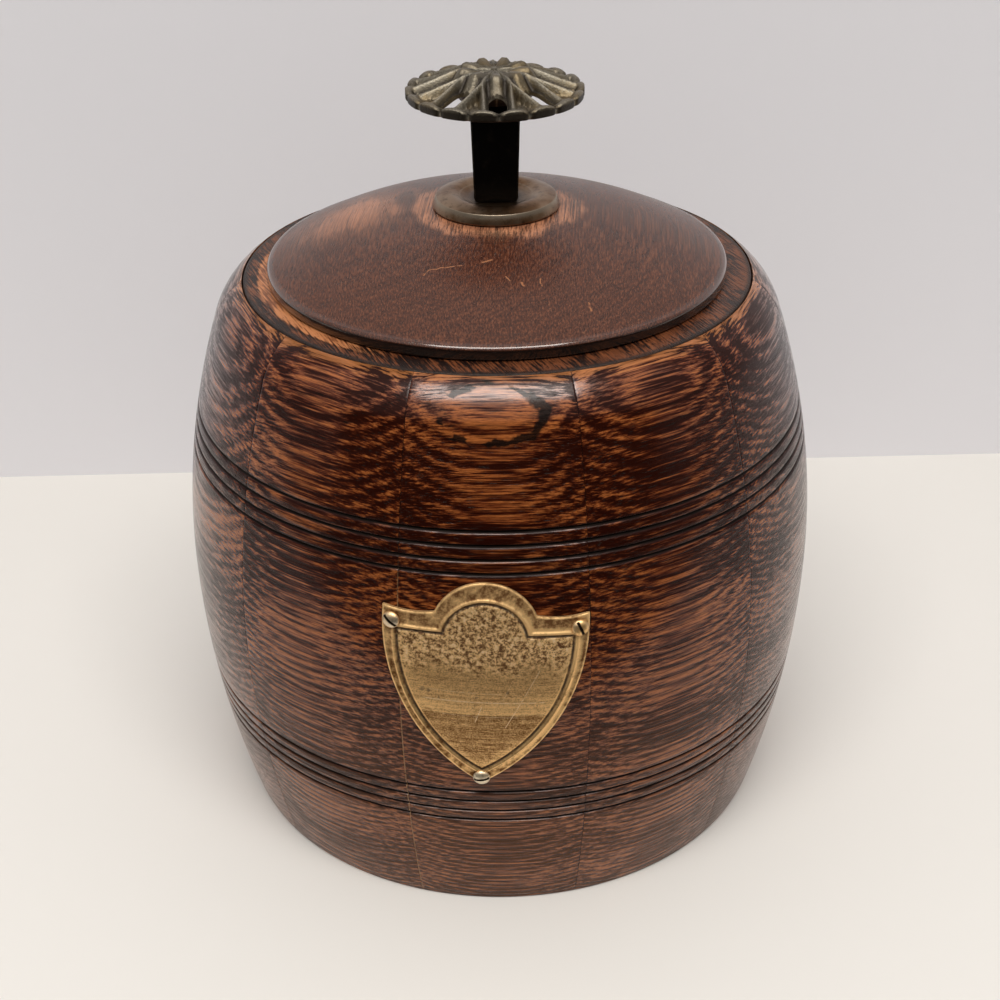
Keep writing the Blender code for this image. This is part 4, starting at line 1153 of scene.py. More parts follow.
class BARREL_OT_staves(bpy.types.Operator):
    """Build the eleven oak staves"""

    bl_idname = "barrel.staves"
    bl_label = "Staves"

    def execute(self, context):
        sizes = context.scene.barrel_sizes
        material = stave_oak(context.scene.oak_colours)
        outside = stave_outside(sizes)
        seat = sizes.ring_radius + sizes.fit
        ledge = sizes.board_radius + sizes.fit
        inside = [
            (seat, sizes.ring_foot - sizes.fit),
            (sizes.bore_radius, sizes.ring_foot - sizes.fit),
            (sizes.bore_radius, sizes.board_top + sizes.fit),
            (ledge, sizes.board_top + sizes.fit),
            (ledge, 0.0),
        ]
        chance = random.Random(STAVE_SEED)
        for index, node in enumerate(STAVE_NODES):
            self.build_stave(sizes, material, node, index, outside, inside, chance)
        return {"FINISHED"}

    def build_stave(self, sizes, material, node, index, outside, inside, chance):
        """Build one stave, with its worn edges and its own board figure."""
        start, end = stave_span(sizes, index)
        middle, half = 0.5 * (start + end), 0.5 * (end - start)
        fractions = [-1.0 + 2.0 * n / STAVE_STEPS for n in range(STAVE_STEPS + 1)]
        edge = sizes.joint_run / (sizes.belly_radius * half)
        fractions += [side * (1.0 - share * edge) for side in (-1.0, 1.0) for share in WORN_SHARES]
        fractions.sort()
        verts, seams, grooves, bands = [], [], [], []
        for fraction in fractions:
            for radius, height, depth in [*outside, *((r, z, -1.0) for r, z in inside)]:
                gap = 0.5 * sizes.joint_gap / radius
                angle = middle + fraction * (half - gap)
                seam = radius * (half - abs(angle - middle))
                if depth >= 0.0:
                    radius -= sizes.joint_sink * max(0.0, 1.0 - seam / sizes.joint_run) ** 2
                verts.append(round_point(radius, angle, height))
                seams.append(seam / MM)
                grooves.append(max(0.0, depth))
                bands.append(band_share(sizes, height) if depth >= 0.0 else 0.0)
        rows = len(outside) + len(inside)
        faces = []
        for column in range(len(fractions) - 1):
            for row in range(rows):
                after = (row + 1) % rows
                a, b = column * rows, (column + 1) * rows
                faces.append((a + row, a + after, b + after, b + row))
        faces.append(tuple(range(rows)))
        faces.append(tuple(range((len(fractions) - 1) * rows, len(fractions) * rows)))
        mesh = add_mesh("oak_" + node, verts, faces)
        self.carry_figure(sizes, mesh, index, middle, chance)
        carry(mesh, "seam", seams)
        carry(mesh, "groove", grooves)
        carry(mesh, "band", bands)
        add_piece("oak_" + node, mesh, material, "barrel", "oak_stave", node)

    def carry_figure(self, sizes, mesh, index, middle, chance):
        """Give a stave its board coordinates, the share of end grain and the colour of its joints."""
        lean = math.radians(chance.uniform(46.0, 58.0))
        twist = math.radians(chance.uniform(-8.0, 8.0))
        start = [chance.uniform(-400.0, 400.0) for _ in range(3)]
        stretch = chance.uniform(0.78, 1.0)
        if index == 0:
            lean, twist, start = FRONT_BOARD
            stretch = 1.0
        points = places(mesh)
        carry(mesh, "board", board_coordinates(points, middle, lean, twist, start) * stretch)
        fibre = np.array((math.cos(middle + twist), math.sin(middle + twist), 0.0))
        flat = points * (1.0, 1.0, 0.0)
        out = flat / np.linalg.norm(flat, axis=1, keepdims=True)
        carry(mesh, "end_grain", np.abs(out @ fibre))
        across, rise, half_across, half_rise = FRONT_OVAL
        swing = np.arctan2(points[:, 0], -points[:, 1]) * sizes.ring_radius
        oval = ((swing - across) / half_across, (points[:, 2] - rise) / half_rise, 0.0 * swing)
        carry(mesh, "oval", np.stack(oval, axis=1) if index == 0 else np.full(points.shape, FAR_OFF))
        side = out @ np.array((math.cos(middle), math.sin(middle), 0.0))
        first, last = index == 0, index == len(STAVE_NODES) - 1
        carry(mesh, "pale_joint", np.where(side < 0.0, float(first), float(last)))


# The ring's figure, where its varnish is worn off, and the width of its dirty rim
RING_GRAIN = math.radians(-66.0)
RING_LEAN = math.radians(62.0)
RING_START = (120.0, 55.0, 31.0)
RING_FINENESS = (3.0, 1.05, 1.05)
WORN_ANGLE = -66.0
WORN_SPREAD = 44.0
WORN_RADIUS = 0.0585
RIM_DIRT = 0.0019
FACE_STEPS = 12


class BARREL_OT_mouth_ring(bpy.types.Operator):
    """Build the oak ring let into the tops of the staves"""

    bl_idname = "barrel.mouth_ring"
    bl_label = "Mouth Ring"

    def execute(self, context):
        sizes = context.scene.barrel_sizes
        r = sizes.ring_round
        top, inner, outer = sizes.body_height, sizes.mouth_radius, sizes.ring_radius
        wide = outer - inner - 2.0 * r
        face = [(inner + r + wide * n / FACE_STEPS, top) for n in range(1, FACE_STEPS)]
        profile = arc((inner + r, top - r), r, 180.0, 90.0, 5) + face
        profile += arc((outer - r, top - r), r, 90.0, 0.0, 5)
        profile += [(outer, sizes.ring_foot), (inner, sizes.ring_foot)]
        mesh = add_mesh("oak_mouth_ring", *lathe(profile, RING_STEPS))
        points = places(mesh)
        board = board_coordinates(points, RING_GRAIN, RING_LEAN, 0.0, RING_START)
        carry(mesh, "board", board * RING_FINENESS)
        angles = np.degrees(np.arctan2(points[:, 0], -points[:, 1]))
        share = np.clip(2.0 - 2.0 * np.abs(angles - WORN_ANGLE) / WORN_SPREAD, 0.0, 1.0)
        radii = np.hypot(points[:, 0], points[:, 1])
        carry(mesh, "worn", share * np.clip((WORN_RADIUS - radii) / MM, 0.0, 1.0))
        carry(mesh, "rim", np.clip(1.0 - (outer - radii) / RIM_DIRT, 0.0, 1.0))
        material = ring_oak(context.scene.oak_colours)
        add_piece("oak_mouth_ring", mesh, material, "barrel", "oak_ring", "mouth_ring")
        return {"FINISHED"}


# The base board's figure: lean, twist and start
BOARD_FIGURE = (math.radians(70.0), 0.2, (9.0, 70.0, 14.0))


class BARREL_OT_base_board(bpy.types.Operator):
    """Build the bare oak board in the barrel's foot"""

    bl_idname = "barrel.base_board"
    bl_label = "Base Board"

    def execute(self, context):
        sizes = context.scene.barrel_sizes
        r, top, outer = sizes.foot_round, sizes.board_top, sizes.board_radius
        profile = [(0.0, top)] + arc((outer - r, top - r), r, 90.0, 0.0, 3)
        profile += arc((outer - r, r), r, 0.0, -90.0, 3) + [(0.0, 0.0)]
        mesh = add_mesh("oak_base_board", *lathe(profile, BOARD_STEPS))
        carry(mesh, "board", board_coordinates(places(mesh), 0.0, *BOARD_FIGURE))
        material = board_oak(context.scene.oak_colours)
        add_piece("oak_base_board", mesh, material, "barrel", "oak_board", "base_board")
        return {"FINISHED"}


class BARREL_OT_liner(bpy.types.Operator):
    """Build the glazed pot inside the barrel"""

    bl_idname = "barrel.liner"
    bl_label = "Liner"

    def execute(self, context):
        sizes = context.scene.liner_sizes
        lip, outer, inner = sizes.lip, sizes.radius, sizes.radius - sizes.wall
        floor, r = sizes.foot + sizes.floor, sizes.corner
        profile = [(0.0, sizes.foot)] + arc((outer - lip, sizes.foot + lip), lip, -90.0, 0.0, 4)
        profile += arc((outer - lip, sizes.top - lip), lip, 0.0, 90.0, 5)
        profile += arc((inner + lip, sizes.top - lip), lip, 90.0, 180.0, 5)
        profile += arc((inner - r, floor + r), r, 0.0, -90.0, 12)
        profile += [(0.5 * (inner - r), floor), (0.0, floor)]
        mesh = add_mesh("glazed_liner", *lathe(profile, LINER_STEPS))
        material = liner_glaze(context.scene.fitting_colours)
        add_piece("glazed_liner", mesh, material, "barrel", "glazed_liner", "liner")
        return {"FINISHED"}


# Shield

# Points along the outlines, rings of points from the middle to the stamped line and the edge, and rays
LOBE_STEPS = 24
SIDE_STEPS = 48
SHOULDER_POINTS = 12
PANEL_POINTS = 10
FIELD_RINGS = 10
PANEL_RINGS = 20
SHIELD_RINGS = 46
SHIELD_RAYS = 440
LINE_MARGIN = 0.9 * MM


def side_half_width(half_width, start, end, drop):
    """Give half the width of a curved side that runs from a shoulder to a point."""
    run = end - start
    radius = (half_width ** 2 + run ** 2) / (2.0 * half_width)
    return half_width - radius + math.sqrt(radius ** 2 - max(0.0, drop - start) ** 2)


def lobe_arc(half_width, top, drop):
    """Give the right half of a lobe, from its top to a shoulder."""
    rise = drop - top
    radius = (half_width ** 2 + rise ** 2) / (2.0 * rise)
    turn_to = math.degrees(math.atan2(half_width, radius - rise))
    return arc((0.0, top + radius), radius, -90.0, turn_to - 90.0, LOBE_STEPS)


def closed_outline(half, half_width, start, end):
    """Finish a right half with its curved side down to the point, and add the left half."""
    for n in range(SIDE_STEPS):
        level = start + (end - start) * (1.0 - (1.0 - n / SIDE_STEPS) ** 1.5)
        half.append((side_half_width(half_width, start, end, level), level))
    half.append((0.0, end))
    return half + [(-x, y) for x, y in reversed(half[1:-1])]


def shield_outline(sizes):
    """Give the shield's outline as (across, drop), clockwise from the top of its lobe."""
    w, drop = sizes.lobe_half_width, sizes.shoulder_drop
    half = lobe_arc(w, 0.0, drop)
    for n in range(1, SHOULDER_POINTS):
        share = n / SHOULDER_POINTS
        sag = sizes.shoulder_sag * 4.0 * share * (1.0 - share)
        half.append((w + (sizes.half_width - w) * share, drop + sag))
    half.append((sizes.half_width, drop))
    return closed_outline(half, sizes.half_width, drop + sizes.side_straight, sizes.height)


def panel_outline(sizes):
    """Give the stamped line's outline inside the shield's border."""
    w, drop, fall = sizes.panel_lobe_half_width, sizes.panel_drop, 0.3 * MM
    half = lobe_arc(w, sizes.panel_lobe_top, drop)
    for n in range(1, PANEL_POINTS):
        share = n / PANEL_POINTS
        half.append((w + (sizes.panel_half_width - w) * share, drop + fall * share))
    return closed_outline(half, sizes.panel_half_width, drop + fall, sizes.panel_point)


def outline_distance(points, outline):
    """Give each point's distance to a closed outline."""
    corners = np.asarray(outline)
    best = np.full(len(points), np.inf)
    for a, b in zip(corners, np.roll(corners, -1, axis=0)):
        run = b - a
        along = np.clip((points - a) @ run / (run @ run), 0.0, 1.0)
        best = np.minimum(best, np.linalg.norm(points - a - along[:, None] * run, axis=1))
    return best


def outline_reach(centre, directions, outline):
    """Give how far rays from a centre run until they meet a closed outline."""
    corners = np.asarray(outline) - centre
    reaches = np.full(len(directions), np.inf)
    for a, b in zip(corners, np.roll(corners, -1, axis=0)):
        run = b - a
        cross = directions[:, 0] * run[1] - directions[:, 1] * run[0]
        cross = np.where(np.abs(cross) < 1e-12, 1e-12, cross)
        distance = (a[0] * run[1] - a[1] * run[0]) / cross
        along = (a[0] * directions[:, 1] - a[1] * directions[:, 0]) / cross
        met = (along >= -1e-6) & (along <= 1.0 + 1e-6) & (distance > 0.0)
        reaches = np.where(met, np.minimum(reaches, distance), reaches)
    return reaches


def on_shield(barrel, sizes, across, drop, proud):
    """Give a point of the hung shield, proud of the wall, the outward direction there and its angle."""
    c, s = math.cos(sizes.tilt), math.sin(sizes.tilt)
    middle = 0.5 * sizes.height
    swing = across * c + (middle - drop) * s
    level = sizes.top - middle + ((middle - drop) * c - across * s)
    angle = sizes.angle + swing / barrel.belly_radius
    return (*on_wall(barrel, angle, level, proud), angle)


class BARREL_OT_shield(bpy.types.Operator):
    """Build the stamped brass shield"""

    bl_idname = "barrel.shield"
    bl_label = "Shield"

    def execute(self, context):
        barrel, sizes = context.scene.barrel_sizes, context.scene.shield_sizes
        outer, panel = shield_outline(sizes), panel_outline(sizes)
        flat, rings = self.spread(sizes, outer, panel)
        to_edge = outline_distance(flat, outer)
        to_line = outline_distance(flat, panel)
        border = np.repeat(np.array(rings) > PANEL_RINGS, SHIELD_RAYS)
        border = np.concatenate((border, [False]))
        signed = np.where(border, -to_line, to_line)
        relief, rub, dirt = self.stamping(sizes, to_edge, signed)
        # Painted highlight: the bead brightens towards the shield's right side
        bright = np.clip(1.8 - np.abs(signed + 1.1 * MM) / (0.7 * MM), 0.0, 1.0) * border
        rub = np.maximum(rub, bright * np.clip(flat[:, 0] / (0.4 * sizes.half_width), 0.0, 1.0))
        front, back = [], []
        for (x, y), lift in zip(flat, relief):
            front.append(on_shield(barrel, sizes, x, y, barrel.fit + sizes.thickness + lift)[0])
        for x, y in flat[(len(rings) - 1) * SHIELD_RAYS:]:
            back.append(on_shield(barrel, sizes, x, y, barrel.fit)[0])
        faces = self.weave(len(rings), SHIELD_RAYS, len(flat))
        mesh = add_mesh("brass_shield_plate", front + back, faces, sharp=50.0)
        extra = len(back)
        plate = np.concatenate((flat / MM, np.zeros((len(flat), 1))), axis=1)
        carry(mesh, "plate", np.concatenate((plate, np.zeros((extra, 3)))))
        carry(mesh, "rub", np.concatenate((rub, np.zeros(extra))))
        carry(mesh, "dirt", np.concatenate((dirt, np.zeros(extra))))
        carry(mesh, "border", np.concatenate((border.astype(float), np.zeros(extra))))
        material = shield_brass(context.scene.fitting_colours)
        add_piece("brass_shield_plate", mesh, material, "barrel", "brass_plate", "shield_plate")
        return {"FINISHED"}

    def spread(self, sizes, outer, panel):
        """Spread points over the shield on rays from its middle, close together along the stamped line."""
        centre = np.array((0.0, 0.46 * sizes.height))
        turns = 2.0 * math.pi * np.arange(SHIELD_RAYS) / SHIELD_RAYS
        rays = np.stack((np.sin(turns), -np.cos(turns)), axis=1)
        to_outer = outline_reach(centre, rays, outer)
        to_panel = outline_reach(centre, rays, panel)
        points, rings = [], []
        for ring in range(1, SHIELD_RINGS + 1):
            if ring <= FIELD_RINGS:
                reach_now = (to_panel - LINE_MARGIN) * ring / FIELD_RINGS
            elif ring <= PANEL_RINGS:
                share = (ring - FIELD_RINGS) / (PANEL_RINGS - FIELD_RINGS)
                reach_now = to_panel - LINE_MARGIN * (1.0 - share)
            else:
                share = (ring - PANEL_RINGS) / (SHIELD_RINGS - PANEL_RINGS)
                share = 0.5 * share + 0.5 * (3.0 * share ** 2 - 2.0 * share ** 3)
                reach_now = to_panel + (to_outer - to_panel) * share
            points.append(centre + rays * reach_now[:, None])
            rings.append(ring)
        return np.concatenate((*points, centre[None, :])), rings

    def stamping(self, sizes, to_edge, to_line):
        """Give the relief, the rubbed high points with a painted highlight along the outer edge, and the
        dirt of the stamped border.
        """
        bead = 1.0 - np.abs(to_line + 0.30 * MM + sizes.bead_half_width) / sizes.bead_half_width
        bead = np.sin(0.5 * math.pi * np.clip(bead, 0.0, 1.0)) ** 1.5
        line = np.clip(1.0 - np.abs(to_line) / sizes.line_half_width, 0.0, 1.0)
        edge = np.clip(1.0 - to_edge / (0.45 * MM), 0.0, 1.0)
        hollow = np.clip(to_edge / (1.4 * MM), 0.0, 1.0) * np.clip(-to_line / (1.8 * MM), 0.0, 1.0)
        relief = sizes.bead_height * bead - sizes.line_depth * line - 0.22 * MM * edge ** 2
        relief = relief - 0.12 * MM * hollow
        # Bead tops are rubbed; the bright line along the outer edge is a painted highlight
        rub = np.maximum(bead, np.clip(1.0 - np.abs(to_edge - 0.25 * MM) / (0.35 * MM), 0.0, 1.0))
        inside = np.clip(1.0 - np.abs(to_line - sizes.line_half_width - 0.1 * MM) / (0.25 * MM), 0.0, 0.6)
        return relief, np.maximum(rub, inside), np.clip(1.7 * line - 0.2, 0.0, 1.0)

    def weave(self, rings, columns, fronts):
        """Give the shield's faces: the front, its rim and a plain back."""
        faces = []
        for column in range(columns):
            after = (column + 1) % columns
            faces.append((fronts - 1, column, after))
            for ring in range(rings - 1):
                a, b = ring * columns, (ring + 1) * columns
                faces.append((a + column, b + column, b + after, a + after))
            last = (rings - 1) * columns
            faces.append((last + column, fronts + column, fronts + after, last + after))
            faces.append((fronts + columns, fronts + after, fronts + column))
        return faces


class BARREL_OT_shield_screws(bpy.types.Operator):
    """Build the three slotted screws of the shield"""

    bl_idname = "barrel.shield_screws"
    bl_label = "Shield Screws"

    def execute(self, context):
        sizes, colours = context.scene.shield_sizes, context.scene.fitting_colours
        material = rubbed_metal(
            "Screw brass", colours.screw, colours.brass, colours.brass_dirt_and_shade, colours.screw,
            rough=0.30, depth=0.00003,
        )
        side = sizes.half_width - sizes.screw_inset
        bottom = sizes.height - sizes.screw_rise
        self.build_screw(context, material, "left", -side, sizes.screw_drop, sizes.left_slot)
        self.build_screw(context, material, "right", side, sizes.screw_drop, sizes.right_slot)
        self.build_screw(context, material, "bottom", 0.0, bottom, sizes.bottom_slot)
        return {"FINISHED"}

    def build_screw(self, context, material, side, across, drop, slot_turn):
        """Build one screw where it goes through the shield."""
        barrel, sizes = context.scene.barrel_sizes, context.scene.shield_sizes
        r, h = sizes.head_radius, sizes.head_height
        turns = np.radians(np.arange(6.0, 91.0, 6.0))
        profile = [(0.0, h)] + [(r * math.sin(a), h * math.cos(a)) for a in turns]
        under, tip = -0.12 * MM, -sizes.shank_length
        profile += [(0.94 * r, under), (sizes.shank_radius, under)]
        profile += [(sizes.shank_radius, tip + sizes.shank_point), (0.0, tip)]
        mesh = add_mesh("head", *lathe(profile, HEAD_STEPS))
        bed = h - sizes.slot_depth
        mesh = cut_away(mesh, slot_cutter(2.0 * r, sizes.slot_width, bed, 2.0 * h))
        # Painted shade: the slot's floor and walls are marked hollow, so the finish darkens them
        points = places(mesh)
        within = np.abs(points[:, 1]) < 0.55 * sizes.slot_width
        carry(mesh, "hollow", 1.0 * (within & (points[:, 2] > 0.9 * bed)))
        point, out, angle = on_shield(barrel, sizes, across, drop, 2.0 * barrel.fit + sizes.thickness)
        along = Vector((math.cos(angle), math.sin(angle), 0.0))
        axes = Matrix((along, out.cross(along), out)).transposed().to_4x4()
        mesh.transform(Matrix.Translation(point) @ axes @ Matrix.Rotation(slot_turn, 4, "Z"))
        name = "brass_screw_" + side
        add_piece(name, mesh, material, "barrel", "brass_screw", "shield_screw_" + side)


# Lid and knob


def dome_height(sizes, radius):
    """Give the level of the lid's domed top."""
    return sizes.bottom + sizes.edge + sizes.rise * (1.0 - (radius / sizes.radius) ** sizes.fullness)


# The lid's figure: the way its grain runs, lean and start
LID_GRAIN = math.radians(86.0)
LID_LEAN = math.radians(-16.6)
LID_START = (310.0, 20.0, -154.26)
DOME_STEPS = 54


class BARREL_OT_lid(bpy.types.Operator):
    """Build the domed oak lid"""

    bl_idname = "barrel.lid"
    bl_label = "Lid"

    def execute(self, context):
        sizes = context.scene.lid_sizes
        crown = sizes.radius - sizes.lip
        across = (crown - sizes.seat_radius) / DOME_STEPS
        radii = [sizes.seat_radius + across * n for n in range(DOME_STEPS + 1)]
        profile = [(sizes.bore_radius, dome_height(sizes, sizes.seat_radius))]
        profile += [(radius, dome_height(sizes, radius)) for radius in radii]
        top = profile[-1][1]
        profile += arc((crown, top - sizes.lip), sizes.lip, 62.0, 0.0, 9)
        r = 0.45 * sizes.lip
        profile += arc((sizes.radius - r, sizes.bottom + r), r, 0.0, -90.0, 4)
        profile += [(sizes.spigot_radius + r, sizes.bottom), (sizes.spigot_radius, sizes.bottom - 0.3 * r)]
        profile += arc((sizes.spigot_radius - r, sizes.spigot_bottom + r), r, 0.0, -90.0, 4)
        low, recess = sizes.spigot_bottom, sizes.spigot_bottom + sizes.recess_depth
        profile += [(0.5 * sizes.spigot_radius, low), (sizes.recess_radius, low)]
        profile += [(sizes.recess_radius, recess), (sizes.bore_radius, recess)]
        mesh = add_mesh("oak_lid", *lathe(profile, LID_STEPS))
        points = places(mesh)
        carry(mesh, "board", board_coordinates(points, LID_GRAIN, LID_LEAN, 0.0, LID_START))
        material = lid_oak(context.scene.oak_colours)
        add_piece("oak_lid", mesh, material, "lid", "oak_lid", "lid")
        return {"FINISHED"}


# Points across the backplate's dished middle and its crest
DISH_STEPS = 14
CREST_STEPS = 12


class BARREL_OT_knob_backplate(bpy.types.Operator):
    """Build the dished bronze plate under the knob"""

    bl_idname = "barrel.knob_backplate"
    bl_label = "Knob Backplate"

    def execute(self, context):
        sizes, colours = context.scene.knob_sizes, context.scene.fitting_colours
        foot, outer, bore = sizes.plate_foot, sizes.plate_radius, context.scene.lid_sizes.bore_radius
        hollow, crest, arris = sizes.plate_hollow, sizes.plate_crest, outer - sizes.plate_batter
        floor, edge, rise = foot + sizes.plate_floor, foot + sizes.plate_edge, foot + sizes.plate_rise
        profile = [(bore, floor), (0.8 * hollow, floor)]
        for n in range(DISH_STEPS + 1):
            share = n / DISH_STEPS
            level = floor + (rise - floor) * soft(share, 0.0, 1.0)
            profile.append((hollow + (crest - hollow) * share, level))
        r = 0.2 * MM
        for n in range(1, CREST_STEPS):
            share = n / CREST_STEPS
            profile.append((crest + (arris - r - crest) * share, rise - (rise - edge) * share ** 1.8))
        profile += arc((arris - r, edge - r), r, 72.0, 15.0, 5)
        r = 0.25 * MM
        profile += arc((outer - r, foot + r), r, 15.0, -90.0, 4) + [(bore, foot)]
        mesh = add_mesh("bronze_backplate", *lathe(profile, PLATE_STEPS))
        points = places(mesh)
        away = np.hypot(points[:, 0], points[:, 1])
        rim = (1.0 - np.abs(away - arris) / (0.35 * MM)) * (points[:, 2] > 0.5 * (foot + edge))
        lip = 0.6 - np.abs(away - 0.5 * (hollow + crest)) / MM
        carry(mesh, "rub", np.clip(np.maximum(lip, rim), 0.0, 1.0))
        # Painted shade: the dish darkens towards the post's foot
        carry(mesh, "hollow", np.clip(1.5 - away / hollow, 0.0, 1.0))
        material = rubbed_metal(
            "Backplate bronze", colours.bronze, colours.bronze_warm, colours.brass_dirt_and_shade,
            colours.bronze_rub, rough=0.20, depth=0.00003,
        )
        add_piece("bronze_backplate", mesh, material, "lid", "bronzed_brass", "knob_backplate")
        return {"FINISHED"}


class BARREL_OT_knob_post(bpy.types.Operator):
    """Build the tapered square post of the knob"""

    bl_idname = "barrel.knob_post"
    bl_label = "Knob Post"

    def execute(self, context):
        sizes = context.scene.knob_sizes
        rows, verts, faces, rubs = 24, [], [], []
        outline = self.section()
        for row in range(rows + 1):
            share = row / rows
            width = sizes.post_foot_width + (sizes.post_top_width - sizes.post_foot_width) * share
            ends = min(share, 1.0 - share) * (sizes.post_top - sizes.post_foot)
            trim = 0.3 * MM * max(0.0, 1.0 - ends / (0.9 * MM))
            for x, y, corner in outline:
                half = 0.5 * width - trim
                verts.append((
                    x * half - corner * math.copysign(0.29 * sizes.post_chamfer, x),
                    y * half - corner * math.copysign(0.29 * sizes.post_chamfer, y),
                    sizes.post_foot + (sizes.post_top - sizes.post_foot) * share,
                ))
                rubs.append(corner)
        n = len(outline)
        for row in range(rows):
            for k in range(n):
                a, b = row * n, (row + 1) * n
                faces.append((a + k, a + (k + 1) % n, b + (k + 1) % n, b + k))
        faces += [tuple(range(n)), tuple(range(rows * n, (rows + 1) * n))]
        mesh = add_mesh("black_knob_post", verts, faces)
        carry(mesh, "rub", rubs)
        material = black_post(context.scene.fitting_colours)
        add_piece("black_knob_post", mesh, material, "lid", "black_post", "knob_post")
        return {"FINISHED"}

    def section(self):
        """Give a unit square with points along its sides and closer ones round its corners."""
        side = (-0.94, -0.86, -0.6, -0.2, 0.2, 0.6, 0.86, 0.94)
        points = []
        for turns in range(4):
            c, s = math.cos(0.5 * math.pi * turns), math.sin(0.5 * math.pi * turns)
            for t in (*side, 1.0):
                x, y = t, -1.0
                points.append((x * c - y * s, x * s + y * c, 1.0 if t == 1.0 else 0.0))
        return points


# Points along the rosette's hub and its ribs, and where points lie across its rim and its underside
HUB_STEPS = 22
RIB_STEPS = 56
RIM_SHARES = (0.2, 0.4, 0.6, 0.75, 0.87, 0.95, 1.0)
UNDER_SHARES = (0.9, 0.75, 0.6, 0.45, 0.3, 0.15)


